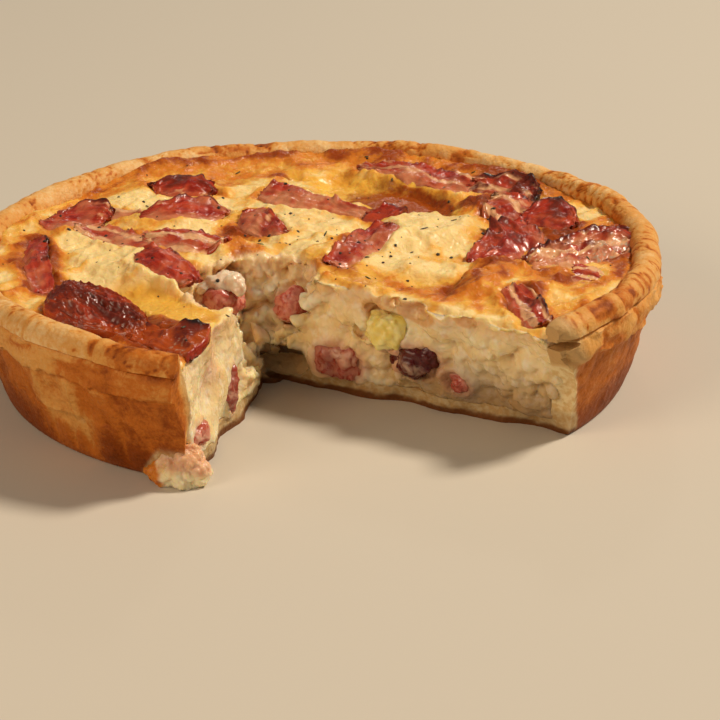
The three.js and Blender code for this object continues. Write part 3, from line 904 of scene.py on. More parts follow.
def custard():
    """The baked filling, with its browned skin on top and its curds where it was cut or torn."""
    bottom = BASE_THICKNESS - 0.4
    edge = FILL_EDGE_RADIUS
    profile = [
        (0, bottom), (BASE_RADIUS - WALL_THICKNESS + 0.4, bottom),
        (edge, 24), (edge, FILL_EDGE_HEIGHT), (0, FILL_HEIGHT),
    ]
    body = thing("custard", spun(spaced(profile, 6.0), 120))
    cutter = slice_cutter(CUTTER_SPACING)
    holes = [hollow(*TORN, 5, 2.2), hollow(*UNDERCUT, 5, 1.6)] + [hollow(c, r, 3) for c, r in PITS]
    carve(body, cutter, *holes)
    with_modifier(body, "REMESH", mode="VOXEL", voxel_size=CUSTARD_SPACING)
    discard(cutter, *holes)

    # The part that the crust hides keeps fewer faces.
    x, y, z = positions(body.data).T
    behind_right, behind_left, _, lid = custard_regions(body.data)
    behind = np.maximum(behind_right, behind_left)
    hidden = ((z < 6) | (np.hypot(x, y) > 78)) & (behind > 2.5) & (lid < 0.5)
    group = body.vertex_groups.new(name="hidden")
    group.add([int(i) for i in np.nonzero(hidden)[0]], 1.0, "REPLACE")
    with_modifier(
        body, "DECIMATE", ratio=HIDDEN_KEPT, vertex_group="hidden", vertex_group_factor=1000.0,
        use_collapse_triangulate=True,
    )
    body.vertex_groups.clear()

    mesh = body.data
    co, no = positions(mesh), normals(mesh)
    x, y, z = co.T
    behind_right, behind_left, torn, lid = custard_regions(mesh)
    behind = np.maximum(behind_right, behind_left)
    face = (1 - step(behind, 1.6, 4.0)) * (1 - lid)
    face = np.maximum(face, torn * (1 - lid))
    face = np.maximum(face, (1 - step(behind, 4, 9)) * step(-no[:, 2], 0.2, 0.6) * step(z, 6, 9))
    pitted = np.zeros(len(co))
    for centre, radii in PITS:
        pitted = np.maximum(pitted, 1 - step(off_centre(co, centre, radii), 1.15, 1.5))
    face = np.maximum(face, pitted * (1 - lid))

    # The skin takes its height, wrinkles and pools. The cut faces take curds.
    wrinkled = rows(x, y, 0.0)
    distance = bacon_distance(x, y)
    slanted = wrinkled @ np.array([[0.9, 0.35, 0], [-0.25, 0.45, 0], [0, 0, 1]])
    pool = np.clip(strongest(x, y, POOLS, 40), 0, 1)
    pale = strongest(x, y, PALE, 80)
    toast = strongest(x, y, TOASTED, 120)
    radius = np.hypot(x, y)
    lift = skin_height(x, y) - (FILL_HEIGHT + (FILL_EDGE_HEIGHT - FILL_HEIGHT) * radius / edge)
    folds = ridges(slanted, 6.5, 1)
    bubbled = strongest(x, y, BUBBLED, 160)
    blisters = lumps(slanted, 5.6, 24)
    fine = 0.85 * folds + 0.5 * ridges(slanted, 3.1, 2) + 0.35 * rough(wrinkled, 1.8, 4) - 0.35
    fine = fine + 2.6 * bubbled * (blisters - 0.8)
    grains = 0.9 * lumps(wrinkled, 3.4, 6) + 0.5 * lumps(wrinkled, 1.9, 7) - 0.9
    fine = fine + grains * np.maximum(pale, 0.3) * step(wander(wrinkled, 12.0, 8), -0.4, 0.4)
    fine = fine * (1 - 0.85 * pool)
    bead = bell(distance, 0.9, 1.5) * (0.8 + 1.2 * rough(wrinkled, 4.0, 9))
    fine = fine * step(distance, -1, 2) + 1.0 * bead
    curd = sum(
        rise * (lumps(co, size, salt) - 0.85)
        for rise, size, salt in ((5.5, 6.2, 11), (5.5, 3.6, 12), (2.6, 2.1, 13))
    )
    grainy = 0.30 + 0.70 * step(wander(co, 13.0, 14) + 0.5 * torn, -0.25, 0.4)
    curd = curd * grainy * step(z, 1, 9) * (1 + 0.5 * torn) + 1.1 * rough(co, 8.0, 16)
    curd = curd - 1.4 * step(rough(co, 5.0, 22), 0.42, 0.62) * step(z, 10, 14)
    smeared = (1 - step(behind_left, 3, 5)) * (1 - step(y, -40, -33))
    streaks = 0.7 * rough(co * np.array([1.0, 1.0, 0.3]), 3.2, 15) + 0.9 * rough(co, 9.0, 16)
    curd = curd * (1 - 0.68 * smeared) + streaks * smeared
    blush = 0.7 * step(wander(co, 12.0, 19), 0.0, 0.6) * step(z, 10, 22) * (behind_right < 6) * (x < 30)
    for name in BURIED:
        middle, half = seat(name)
        away = off_centre(co, middle, half) + 0.15 * rough(co, 3.5, 31)
        curd = curd + 0.9 * bell(away, 1.2, 0.25) - np.exp(-((away / 0.9) ** 4))
        if name != "cheese_cube":
            blush = np.maximum(blush, 1 - step(away, 0.95, 1.75))
    curd = curd * (1 - 0.2 * step(z, 27, 31))
    chipped = (1 - step(behind, 0.3, 3.0)) * step(wander(wrinkled, 4.5, 29), -0.2, 0.5)
    co = co + no * (face * curd)[:, None]
    co[:, 2] += lid * (lift + fine - 2.2 * chipped)
    inner = step(z, 6, 9)
    moved(mesh, co)

    # Browning follows the folds and the bacon, and skips the pale mounds and the pools.
    browned = toast + 0.30 * (folds - 0.4) * (1 - pool) + 0.14 * rough(wrinkled, 9.0, 21) + 0.06
    browned = browned + 0.16 * rough(slanted, 4.5, 25) + 0.30 * bubbled * (0.86 - blisters) * 2
    browned = browned + 0.26 * ridges(slanted, 11.0, 26) ** 3 * (1 - pool)
    beside = 1 - step(distance + 2.5 * rough(wrinkled, 4.0, 23), 0.0, 4.5)
    browned = (browned + 0.20 * beside) * (1 - 0.78 * pale) + 0.14 * step(radius, 76, 82)
    paint(mesh, "toast", browned)
    paint(mesh, "cut", np.maximum(face, 1 - inner) * (1 - 0.999 * lid))
    paint(mesh, "gold", np.clip(1.4 * pool, 0, 1) * lid)
    paint(mesh, "cream", step(curd, -0.2, 1.0) * step(wander(co, 7.0, 18), -0.4, 0.5) * face)
    # Painted shade in the gaps between the curds and in the holes near the top; the golden edge near the top
    # is browning.
    golden_edge = 0.5 * step(z + 1.5 * rough(co, 5.0, 27), 22, 29)
    gaps = np.maximum(step(-curd, 0.5, 2.8), 0.9 * pitted * step(z, 20, 26)) * (1 - smeared)
    paint(mesh, "deep", np.maximum(gaps * (0.5 + 0.5 * step(z, 18, 25)), golden_edge) * face)
    paint(mesh, "pink", blush * face)
    # Painted shade: the lower right-hand cut face darkens where the slice would have cast its shadow, and so
    # does the hollow under the filling.
    under = off_centre(co, *UNDERCUT)
    shaded = 0.62 * (1 - step(z, 5, 27)) * step(x, 8, 50) * face
    paint(mesh, "painted_shade", np.maximum(shaded, 0.8 * (1 - step(under, 0.9, 1.45)) * (1 - step(z, 9, 13))))
    return finished(body, CUSTARD, "custard", "filling")


# ---- the crust ----
def crust_profile():
    """The pastry's outline: out from the middle of its floor, up the wall, over the roll and back inside."""
    roll_radius = RIM_RADIUS - ROLL_RADIUS
    roll_height = RIM_HEIGHT - ROLL_RADIUS
    band_top = roll_height - ROLL_RADIUS * 0.5
    band_low = band_top - BAND_HEIGHT
    band_radius = RIM_RADIUS - 0.7
    wall_top = band_radius - BAND_STANDS_OUT
    outside = [
        (BASE_RADIUS - 2, 0), (BASE_RADIUS - 0.6, 0.4), (BASE_RADIUS, 1.6),
        (wall_top, band_low - 0.2), (band_radius - 0.2, band_low + 0.3), (band_radius, band_low + 0.9),
        (band_radius + 0.3, band_low + BAND_HEIGHT * 0.5), (band_radius, band_top),
        (band_radius - 0.9, band_top + 0.8),
    ]
    turns = [math.radians(t) for t in range(-14, 196, 11)]
    roll = [
        (roll_radius + ROLL_RADIUS * math.cos(t), roll_height + ROLL_RADIUS * math.sin(t)) for t in turns
    ]
    inside = [(wall_top - WALL_THICKNESS - 1, band_low), (BASE_RADIUS - WALL_THICKNESS, BASE_THICKNESS)]
    return (
        spaced([(0, 0), (BASE_RADIUS - 2, 0)], 9.0)
        + spaced(outside, 0.8)[1:]
        + spaced([outside[-1]] + roll, 0.8)[1:]
        + spaced([roll[-1]] + inside + [(0, BASE_THICKNESS)], 9.0)[1:]
    )


def crust():
    """The pastry case: flaring wall, stepped band and rolled rim, browned on its folds and cracks."""
    shell = thing("crust_baked", spun(crust_profile(), 720))
    mesh = shell.data
    co = positions(mesh)
    x, y, z = co.T
    angle, radius = np.arctan2(y, x), np.hypot(x, y)
    up = np.clip(z / RIM_HEIGHT, 0, 1)
    outside = step(radius, 84 - 4 * (1 - up), 85.5 - 4 * (1 - up))
    around = rows(np.cos(angle) * 86, np.sin(angle) * 86, 0.0)
    pleats = around + np.array([0, 0, 1.0]) * (z * 0.25)[:, None]
    on_roll = step(z, 28.5, 29.5) * step(radius, 80.5, 81.5)
    on_wall = (1 - step(z, 21, 22.5)) * outside
    on_band = outside * (1 - on_roll) * (1 - on_wall)
    # The roll: cracks that run across it, slightly aslant. The wall: shallow upright folds.
    twist = around + np.array([0.25, 0.25, 0.55]) * (radius + z)[:, None]
    push = 0.5 * rough(around, 11.0, 51) + 0.4 * rough(co, 5.0, 52)
    cracked = ridges(twist, 3.0, 54) ** 2.5 * step(wander(co, 8.0, 64), -0.5, 0.2)
    push += on_roll * (0.40 * rough(twist, 2.6, 53) - 0.60 * cracked)
    near_left = bell(angle, DEEPEST_FOLDS, math.radians(14))
    push += on_wall * (1.0 * rough(pleats, 6.0, 55) + 0.45 * rough(co, 2.5, 56))
    push += on_wall * near_left * 2.2 * (ridges(pleats, 6.0, 65) - 0.35)
    leaves = co * np.array([0.3, 0.3, 1.0])
    ledges = ridges(leaves, 2.6, 58) * step(wander(co, 9.0, 75), -0.5, 0.3)
    push += on_band * (0.5 + 1.0 * rough(leaves, 1.7, 57) + 0.4 * rough(co, 2.0, 66) - 0.9 * ledges)
    push = push * step(z, 0.3, 4)
    direction = rows(np.cos(angle), np.sin(angle), 0.0)
    tilt = np.clip((z - 30.5) / 3.7, 0, 1)[:, None]
    direction = direction * np.where(radius < 85, -0.6, 1.0)[:, None] * (1 - tilt)
    direction = direction + np.array([0, 0, 1.0]) * tilt
    visible = np.maximum(outside, on_roll)
    co = co + direction * (push * visible)[:, None]
    outward = 1 + (0.004 * np.sin(8 * angle) + 0.003 * np.sin(20 * angle)) * up
    co[:, 0] *= outward
    co[:, 1] *= outward
    co[:, 2] += rim_lift(angle) * np.clip((z - BASE_THICKNESS) / (RIM_HEIGHT - BASE_THICKNESS), 0, 1)
    ragged = 1.5 * rough(around, 5.0, 59) + 0.5 * rough(around, 1.6, 67)
    co[:, 2] += ragged * bell(z, 22.6, 1.8) * outside
    # At the right-hand cut the rolled edge and the band below it end as two soft round lobes.
    near = np.clip(behind_cuts(co)[0] / 4.5, 0, 1)
    shrink = 0.45 + 0.55 * np.sqrt(1 - (1 - near) ** 2)
    shrink = np.where((x > 60) & (np.abs(angle) < 0.5), shrink, 1.0)[:, None]
    for part, (out, height) in ((on_roll, (86.3, 30.3)), (on_band, (85.0, 25.9))):
        middle = rows(np.cos(angle) * out, np.sin(angle) * out, height + rim_lift(angle))
        co = np.where(part[:, None] > 0.5, middle + (co - middle) * shrink, co)
    # The wall's skin has come away beside the left-hand cut and shows crumb.
    peeled = step(np.degrees(angle) + 85 - z * 0.5, -0.8, 0.8) * (1 - step(z, 11, 14)) * outside
    peeled = peeled * ((angle > math.radians(-90)) & (angle < math.radians(-70)))
    co = co - direction * (peeled * (1.0 - 1.3 * (lumps(co, 2.6, 62) - 0.5)))[:, None]
    moved(mesh, co)

    crease = bell(z, 29.3, 0.9) * outside
    # Painted light: the crease between the roll and the band is painted a little lighter, against the shade
    # that falls in it.
    toast = 0.30 + 0.28 * on_wall - 0.02 * on_band - 0.06 * crease
    hairlines = ridges(twist * np.array([1.0, 1.0, 1.6]), 1.7, 69) ** 4 * step(wander(co, 6.0, 70), -0.3, 0.4)
    toast = toast + (0.50 * cracked + 0.45 * hairlines + 0.12 * rough(twist, 3.0, 68) - 0.14) * on_roll
    toast = toast + (0.14 * on_roll + 0.14 * on_band) * step(rough(co, 16.0, 61), 0.1, 0.6)
    toast = toast + 0.14 * rough(pleats, 16.0, 63) * on_wall + 0.3 * ledges * on_band
    # Painted shade: the wall browns darker towards the floor.
    toast = toast + 0.22 * on_wall * (1 - step(z, 2, 12))
    # Painted highlight and shade: the wall's raised folds are lighter and its dips darker; it is also a
    # little lighter beside the left-hand cut.
    toast = toast - on_wall * (0.16 * np.clip(push, -1, 1) + 0.12 * near_left)
    scorched = bell(angle, DARKEST_PASTRY, math.radians(8))
    toast = toast + 0.16 * scorched * (outside + on_roll)
    # Painted shade: the roll darkens towards its right-hand end.
    toast = toast + 0.13 * step(x, 40, 75) * on_roll
    toast = toast + 0.2 * on_roll * step(83.5 - radius, -0.5, 1.5) * step(x, 20, 60)
    paint(mesh, "toast", toast)
    paint(mesh, "deep", peeled)

    cutter, undercut = slice_cutter(CRUST_CUTTER_SPACING, 0.5), hollow(*UNDERCUT, 5, 1.6)
    crevice = hollow((84.8, -17.4, 28.4), (6.0, 5.0, 1.2), 4, 0.3)
    carve(shell, cutter, undercut, crevice)
    discard(cutter, undercut, crevice)
    mesh = shell.data
    co = positions(mesh)
    behind_right, behind_left = behind_cuts(co)
    crumb = np.maximum(painted(mesh, "deep"), 1 - step(np.maximum(behind_right, behind_left), 1.3, 2.3))
    high = step(co[:, 2], 21, 23) * step(np.hypot(co[:, 0], co[:, 1]), 79, 81)
    doughy = high * (1 - step(behind_right, 2.5, 6.5)) * (co[:, 0] > 60)
    inner_side = (np.hypot(co[:, 0], co[:, 1]) < 85) & (co[:, 1] < 0) & (co[:, 0] > 60)
    doughy = np.maximum(doughy, 0.8 * high * (1 - step(behind_right, 5, 11)) * inner_side)
    # Beside the left-hand cut the pastry runs from toasted orange outside to soft cream by the filling.
    outer = BASE_RADIUS + 5.3 * np.clip(co[:, 2] / 22, 0, 1)
    depth = (outer - np.hypot(co[:, 0], co[:, 1]) + 1.2 * rough(co, 3.0, 72)) / WALL_THICKNESS
    beside_left = (1 - step(behind_left, 0.8, 2.4)) * step(co[:, 2], 6, 10) * (co[:, 1] < -60)
    paint(mesh, "cut", crumb * (1 - high) * (1 - step(co[:, 2], 6, 10) * (co[:, 1] < -60)))
    paint(mesh, "cream", np.maximum(doughy * (co[:, 0] > 40), 0.8 * beside_left * step(depth, 0.5, 1.1)))
    toast = painted(mesh, "toast")
    seared = 0.62 - 0.35 * step(depth, 0.1, 0.9) + 0.2 * rough(co, 2.5, 74)
    paint(mesh, "toast", toast + beside_left * (seared - toast))
    # Painted shade: the cut pastry darkens at its foot on the floor and low beside the right-hand cut.
    at_foot = 1 - step(co[:, 2] + 0.8 * rough(co, 3.0, 73), 0.2, 2.4)
    floor_edge = (1 - step(behind_right, 3, 6)) * (1 - step(co[:, 2], 6, 9))
    paint(mesh, "painted_shade", 0.85 * at_foot * crumb + 0.42 * crumb * floor_edge)
    return finished(shell, PASTRY, "pastry", "crust", flat_angle=60)


# ---- the bacon on top ----
def rasher(
    name, front, back, cutter, thick=2.0, arch=0.0, ruffle=0.5, crease=0.4, char=0.3, pale=0.2, fat=0.15,
    ash=0.0, amber=0.0, pointed=0.7, salt=1, slot="bacon", meets_cut=False,
):
    """A strip of bacon between two long edges, each given as points (x, y, rise above the skin)."""
    near, front_length = smooth_line(front, np.array([0.3, 0.5, 0.7]))
    far, back_length = smooth_line(back, np.array([0.3, 0.5, 0.7]))
    wide = float(np.mean([math.dist(a[:2], b[:2]) for a, b in zip(near, far)]))
    long = max(back_length, front_length)
    block, at = slab(name, (long / STRIP_SPACING, wide / STRIP_SPACING, 3))
    u, v, w = at[:, 0], 2 * at[:, 1] - 1, at[:, 2]
    mm = rows(u * long, v * wide / 2, salt * 31.7)

    def surface(u, v):
        ends = 1 - (1 - pointed) * np.abs(2 * u - 1) ** 7
        width = v * ends
        edge = rows(u * long, np.sign(v) * 9, salt * 17.3)
        width = width * (1 + 0.18 * rough(edge, 5.0, salt) + 0.03 * rough(edge, 2.6, salt + 1))
        end = rows(np.sign(u - 0.5) * 9, v * wide / 2, salt * 7.1)
        share = np.clip(u + (2.8 / long) * rough(end, 3.5, salt + 3) * np.abs(2 * u - 1) ** 3, -0.08, 1.08)
        low, high = smooth_line(front, np.clip(share, 0, 1))[0], smooth_line(back, np.clip(share, 0, 1))[0]
        spot = low + (high - low) * ((width + 1) / 2)[:, None]
        height = skin_height(spot[:, 0], spot[:, 1]) + spot[:, 2] + arch * (1 - v**2)
        flatly = rows(u * long, v * wide / 2, salt * 11.9)
        height = height + ruffle * rough(flatly, 4.2, salt + 5)
        height = height + 0.75 * crease * (ridges(flatly * np.array([0.55, 1, 1]), 3.2, salt + 8) - 0.3)
        height = height + np.clip(v, 0, 1) ** 3 * (1.3 * ridges(edge, 4.5, salt + 2) - 0.4)
        height = height - 0.25 * step(-v, 0.3, 0.9) * (1 + rough(edge, 4.0, salt + 4))
        height = height - 1.5 * step(-v, 0.84, 1.0)
        return rows(spot[:, 0], spot[:, 1], height)

    top = surface(u, v)
    along = surface(np.minimum(u + 0.01, 1.0), v) - surface(np.maximum(u - 0.01, 0.0), v)
    across = surface(u, v + 0.03) - surface(u, v - 0.03)
    up = np.cross(along, across)
    up /= np.maximum(np.linalg.norm(up, axis=1), 1e-9)[:, None]
    up *= np.where(up[:, 2] < 0, -1, 1)[:, None]
    full_across = np.sqrt(np.clip(1 - np.abs(v) ** 4, 0, 1))
    full_along = np.sqrt(np.clip(1 - np.abs(2 * u - 1) ** 10, 0, 1))
    depth = thick * (0.30 + 0.70 * full_across * full_along)
    fine = 0.24 * rough(mm * np.array([0.5, 1, 1]), 1.2, salt + 11)
    fine = fine + 0.36 * ridges(mm * np.array([0.6, 1, 1]), 1.8, salt)
    fine = (fine - 0.1) * w
    co = top - up * ((1 - w) * depth - fine)[:, None]
    moved(block.data, co)

    height = top[:, 2] - skin_height(top[:, 0], top[:, 1])
    back_share = (v + 1) / 2
    blotch = rough(mm, 5.0, salt + 13)
    edge = np.maximum(np.abs(v) ** 8 * (0.2 + 0.8 * back_share), np.abs(2 * u - 1) ** 14)
    edge = edge * step(blotch, -0.5, 0.5)
    high_edge = step(v, 0.80, 1.0) * step(height + 1.2 * blotch, 1.6, 3.0)
    burnt = char * (0.35 + 0.12 * (height - 1.5)) + min(char, 1) * (0.5 * blotch + 0.35 * edge)
    burnt = burnt + 0.36 * high_edge
    stripes = fat * (1.2 + 1.4 * np.sin(v * 5.5 + 1.1 * rough(mm, 9.0, salt + 15) * 3 + salt))
    stripes = stripes + 0.30 * step(rough(mm, 3.6, salt + 19), 0.15, 0.6)
    paint(block.data, "toast", burnt)
    paint(block.data, "cream", stripes)
    clear = (0.35 + pale) * rough(mm, 4.5, salt + 17) + 0.45 * step(-v, 0.35, 1.0)
    paint(block.data, "pale", pale * (1.1 - 0.8 * back_share) + clear)
    paint(block.data, "ash", ash * step(u + 0.3 * blotch, 0.35, 0.65) * step(-v + 0.3 * blotch, -0.5, 0.1))
    paint(block.data, "amber", np.full(len(v), amber))
    lay_strip(block.data, mm[:, :2] + salt * 3.1)
    if meets_cut:
        carve(block, cutter)
    nodes = ["bacon_" + name.removesuffix("_baked")] if name.endswith("_baked") else []
    return finished(block, BACON, slot, *nodes)


def blister():
    """A big dark bubble of bacon skin, wrinkled along its length and shining with fat."""
    bm = bmesh.new()
    bmesh.ops.create_icosphere(bm, subdivisions=7, radius=1.0)
    made = thing("blister_baked", bm)
    at = positions(made.data)
    turn = math.radians(-8)
    along, across = at[:, 0] * BLISTER_HALF_LENGTH, at[:, 1] * 10.0 * (1 - 0.38 * at[:, 0])
    folds = rows(along * 0.38, across, at[:, 2] * 7)
    puff = 1.5 * ridges(folds, 3.4, 90) + 0.9 * ridges(folds, 1.4, 91) + 0.4 * ridges(folds, 0.7, 87)
    puff = puff + 1.6 * rough(folds, 7.0, 92) - 0.8
    x = BLISTER_X + along * math.cos(turn) - across * math.sin(turn)
    y = BLISTER_Y + along * math.sin(turn) + across * math.cos(turn)
    dome = np.sign(at[:, 2]) * np.abs(at[:, 2]) ** 0.8 * (6.4 - 3.6 * at[:, 0])
    skirt = 1 - np.abs(at[:, 2])
    height = skin_height(x, y) - 0.6 + dome + puff * (0.35 + 0.65 * np.abs(at[:, 2]))
    spread = 1 + 0.06 * rough(folds, 6.0, 93) * skirt
    x = BLISTER_X + (x - BLISTER_X) * spread
    y = BLISTER_Y + (y - BLISTER_Y) * spread
    moved(made.data, rows(x, y, height))
    sunny = step(at[:, 0] + 0.5 * rough(folds, 6.0, 88), 0.25, 0.8) + 0.6 * skirt
    paint(made.data, "toast", 0.44 + 0.16 * at[:, 2] + 0.30 * rough(folds, 5.0, 94) - 0.18 * sunny)
    paint(made.data, "cream", 0.5 * ridges(folds, 3.4, 90) ** 2 * (at[:, 2] > 0.2))
    paint(made.data, "pale", 0.2 * sunny)
    paint(made.data, "amber", 0.25 + 0.9 * sunny)
    paint(made.data, "ash", 0.5 * step(rough(folds, 4.0, 89), 0.2, 0.5) * step(at[:, 2], 0.3, 0.7))
    lay_strip(made.data, folds[:, :2])
    finished(made, BACON, "bacon", "bacon_blister")


def bacon():
    """Every strip that lies on top, and the blister."""
    cutter = slice_cutter(CUTTER_SPACING)
    for name, front, back, looks in RASHERS:
        rasher(name, front, back, cutter, **looks)
    discard(cutter)
    blister()


# ---- the pieces in the cut faces ----
DEEPNESS = {  # how dark the meat of each lardon is
    "lardon_right_dark": 1.2, "lardon_left_slice": 0.4, "lardon_right_large": 0.22, "lardon_right_small": 0.2,
}
FAT = (  # soft lumps of fat along the torn edge: centre and radius
    ((-9.0, -25.2, 28.4), 3.0), ((-6.4, -25.8, 28.8), 2.6), ((-11.2, -27.6, 27.8), 2.5),
    ((-8.4, -27.6, 27.4), 2.3), ((-4.0, -26.8, 28.0), 1.8), ((-12.6, -30.0, 27.2), 1.7),
)


def morsel(node, material, slot, salt, squareness=2.4, uneven=2.4):
    """A lump of meat or cheese that fills the box of its CAD node, with soft corners and an uneven skin."""
    middle, half = seat(node)
    block, at = slab(node + "_cooked", (22, 22, 22))
    at = 2 * at - 1
    at = at / (np.abs(at) ** squareness).sum(axis=1)[:, None] ** (1 / squareness)
    co = middle + at * half
    out = at / np.linalg.norm(at, axis=1)[:, None]
    co = co + out * (uneven * rough(co, 4.5, salt) + 0.22 * uneven * rough(co, 1.4, salt + 4))[:, None]
    moved(block.data, co)
    tilt = co @ np.array([0.5, 0.2, 0.85])
    paint(block.data, "cream", 0.45 + 0.5 * np.sin((tilt + 2.5 * rough(co, 5.0, salt + 6)) / 2.4 + salt))
    paint(block.data, "deep", DEEPNESS.get(node, 0.0) + 0.35 * rough(co, 6.0, salt + 8))
    return finished(block, material, slot, node)


def fillings():
    """The meat and cheese that show in the cut faces, and the soft fat at the torn edge."""
    for salt, name in enumerate(BURIED):
        if name == "cheese_cube":
            morsel(name, CHEESE, "cheese", 30, 2.8, 3.0)
        else:
            morsel(name, HAM, "ham", salt + 1)
    bm = bmesh.new()
    for place, radius in FAT:
        bmesh.ops.create_icosphere(bm, subdivisions=5, radius=radius, matrix=Matrix.Translation(place))
    fat = thing("soft_fat_lumps", bm)
    with_modifier(fat, "REMESH", mode="VOXEL", voxel_size=FAT_SPACING)
    co, no = positions(fat.data), normals(fat.data)
    bumpy = 1.0 * rough(co, 3.2, 110) + 0.7 * lumps(co, 1.9, 112) + 0.3 * rough(co, 1.1, 111) - 0.5
    moved(fat.data, co + no * bumpy[:, None])
    finished(fat, fat_material(), "ham")


# ---- pepper and herbs ----
SEASONED_RADIUS, DROP_HEIGHT, LOWEST_LANDING = 80, 60, 24
STEEPEST_LANDING = 0.35  # the least upright part of a face's normal


def scattered(name, surfaces, count, chance, seed, shape):
    """Small bits dropped onto the top of the quiche, joined as one piece."""
    trees = [BVHTree.FromObject(o, bpy.context.evaluated_depsgraph_get()) for o in surfaces]
    pick = np.random.default_rng(seed)
    bm = bmesh.new()
    placed = 0
    while placed < count:
        angle, share, turn, size, luck = pick.uniform(0, 1, 5)
        reach, heading = SEASONED_RADIUS * math.sqrt(share), angle * 2 * math.pi
        spot = Vector((reach * math.cos(heading), reach * math.sin(heading), DROP_HEIGHT)) * MM
        if luck > chance(spot.x / MM, spot.y / MM):
            continue
        hits = [h for h in (t.ray_cast(spot, Vector((0, 0, -1))) for t in trees) if h[0] is not None]
        if not hits:
            continue
        point, normal = max(hits, key=lambda h: h[0].z)[:2]
        if point.z < LOWEST_LANDING * MM or normal.z < STEEPEST_LANDING:
            continue
        place = Matrix.Translation(point) @ normal.to_track_quat("Z", "Y").to_matrix().to_4x4()
        shape(bm, place @ Matrix.Rotation(turn * 2 * math.pi, 4, "Z"), size, pick)
        placed += 1
    return thing(name, bm)


def peppercorn_bit(bm, place, size, pick):
    """One broken bit of peppercorn."""
    half = (0.20 + 0.36 * size**3) * MM
    stretch = Matrix.Diagonal((half * pick.uniform(0.8, 1.4), half, half * pick.uniform(0.5, 0.8), 1))
    made = bmesh.ops.create_icosphere(bm, subdivisions=2, radius=1.0, matrix=place @ stretch)
    for vertex in made["verts"]:
        vertex.co += Vector(pick.uniform(-1, 1, 3)) * half * 0.22


def herb_sliver(bm, place, size, pick):
    """One thin sliver of herb, lying flat."""
    long, wide, tall = (0.6 + 0.9 * size) * MM, 0.24 * MM, 0.12 * MM
    lying = place @ Matrix.Translation((0, 0, tall)) @ Matrix.Diagonal((long, wide, tall, 1))
    made = bmesh.ops.create_icosphere(bm, subdivisions=2, radius=1.0, matrix=lying)
    for vertex in made["verts"]:
        vertex.co += Vector(pick.uniform(-1, 1, 3)) * wide * 0.2


def seasoning(surfaces):
    """Cracked pepper, thickest near the cut and the middle, and a few herbs spread evenly."""
    where = ((-30, -10, 34), (5, 10, 20), (10, 35, 18), (-55, -30, 14), (20, 0, 18))

    def chance(x, y):
        return 0.12 + 0.88 * max(math.exp(-((x - a) ** 2 + (y - b) ** 2) / r**2) for a, b, r in where)

    def even(x, y):
        return 0.5

    for name, count, odds, seed, shape, material in (
        ("cracked_pepper", 190, chance, 11, peppercorn_bit, pepper_material()),
        ("dried_herbs", 22, even, 12, herb_sliver, herb_material()),
    ):
        bits = scattered(name, surfaces, count, odds, seed, shape)
        bits.data.shade_smooth()
        bits.data.materials.append(material)
        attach(bits, "root")


# ---- the crumbled foot of the left-hand cut ----
def foot():
    """Pastry and custard that crumbled and sagged out at the foot of the left-hand cut."""
    bm = bmesh.new()
    bmesh.ops.create_icosphere(bm, subdivisions=6, radius=1.0)
    made = thing("crumbled_foot", bm)
    at = positions(made.data)
    tall = 2.2 + 4.2 * step(at[:, 0], -0.55, 0.2)
    half = rows(8.6, 5.4, tall + 0.8)
    co = np.array([15.6, -78.8, 3.6]) + at * half
    co[:, 2] -= 1.4 * (1 - step(at[:, 0], -0.55, 0.2))
    crumbly = 2.6 * (lumps(co, 3.4, 95) - 0.8) + 2.0 * (lumps(co, 1.8, 96) - 0.8) + 1.3 * rough(co, 6.0, 97)
    co = co + at * crumbly[:, None]
    co[:, 2] = np.maximum(co[:, 2], 0.05)
    moved(made.data, co)
    left = 1 - step(co[:, 0] + 0.3 * (co[:, 2] - 3) + 1.5 * rough(co, 4.0, 98), 14.0, 15.5)
    paint(made.data, "toast", 0.62 + 0.25 * rough(co, 3.0, 99))
    paint(made.data, "cut", 1 - left)
    pinkish = step(co[:, 2] + 2 * rough(co, 4.0, 100), 3.0, 5.5) * step(co[:, 0], 13, 15)
    paint(made.data, "pink", 0.9 * pinkish)
    paint(made.data, "cream", 0.4 * (1 - step(co[:, 2], 2.0, 5.0)))
    return finished(made, CUSTARD, "custard")


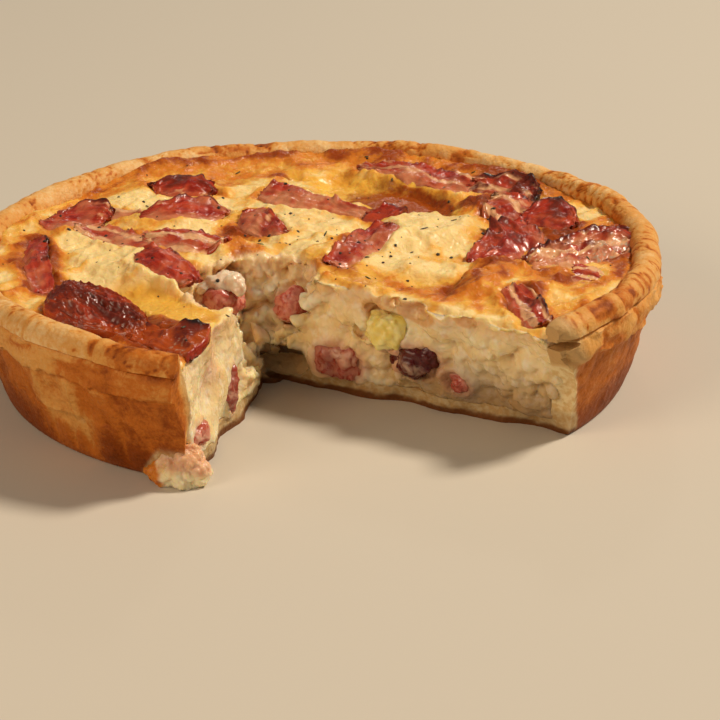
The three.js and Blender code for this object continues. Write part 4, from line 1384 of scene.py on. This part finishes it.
# ---- camera, light and floor ----
def camera():
    """A long lens, low over the table, looking into the cut."""
    eye, target = Vector((0.40496, -0.55784, 0.28388)), Vector((0.03096, -0.02371, 0.015))
    roll = math.radians(-0.89)
    made = bpy.data.objects.new("camera", bpy.data.cameras.new("camera"))
    made.data.sensor_width = 36
    made.data.lens = 141.72
    made.data.clip_start = 0.01
    look = (target - eye).to_track_quat("-Z", "Y").to_matrix().to_4x4()
    made.matrix_world = Matrix.Translation(eye) @ look @ Matrix.Rotation(roll, 4, "Z")
    scene.collection.objects.link(made)
    scene.camera = made


def lamp(name, place, size, power, tint):
    """A round soft lamp that faces the quiche."""
    data = bpy.data.lights.new(name, "AREA")
    data.shape = "DISK"
    data.size = size
    data.energy = power
    data.color = colour(tint)[:3]
    made = bpy.data.objects.new(name, data)
    facing = (-Vector(place)).to_track_quat("-Z", "Y").to_matrix().to_4x4()
    made.matrix_world = Matrix.Translation(place) @ facing
    scene.collection.objects.link(made)


def stage():
    """A plain pale floor, dim even light from all round, and three lamps."""
    bm = bmesh.new()
    bmesh.ops.create_grid(bm, x_segments=1, y_segments=1, size=3.0)
    floor = thing("floor", bm)
    tree = new_material("plain_floor")[0]
    floor.data.materials.append(made_of(tree, base="#cdc5b6", roughness=0.7))
    floor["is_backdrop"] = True
    world = bpy.data.worlds.new("studio")
    world.use_nodes = True
    world.node_tree.nodes["Background"].inputs[0].default_value = colour("#f4f1ea")
    world.node_tree.nodes["Background"].inputs[1].default_value = 0.15
    scene.world = world
    lamp("key", (0.90, 1.00, 1.60), 0.42, 42.0, "#fff0dc")
    lamp("sparkle", (-0.45, 0.85, 0.50), 0.10, 0.35, "#fff6ea")
    lamp("fill", (-0.20, -0.90, 0.60), 0.6, 4.4, "#ffe4c4")
    scene.view_settings.view_transform = "Standard"


CUSTARD, PASTRY, BACON = custard_material(), pastry_material(), bacon_material()
HAM, CHEESE = ham_material(), cheese_material()
camera()
stage()
custard()
case = crust()
foot()
bacon()
fillings()
seasoning([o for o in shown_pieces() if o is not case])
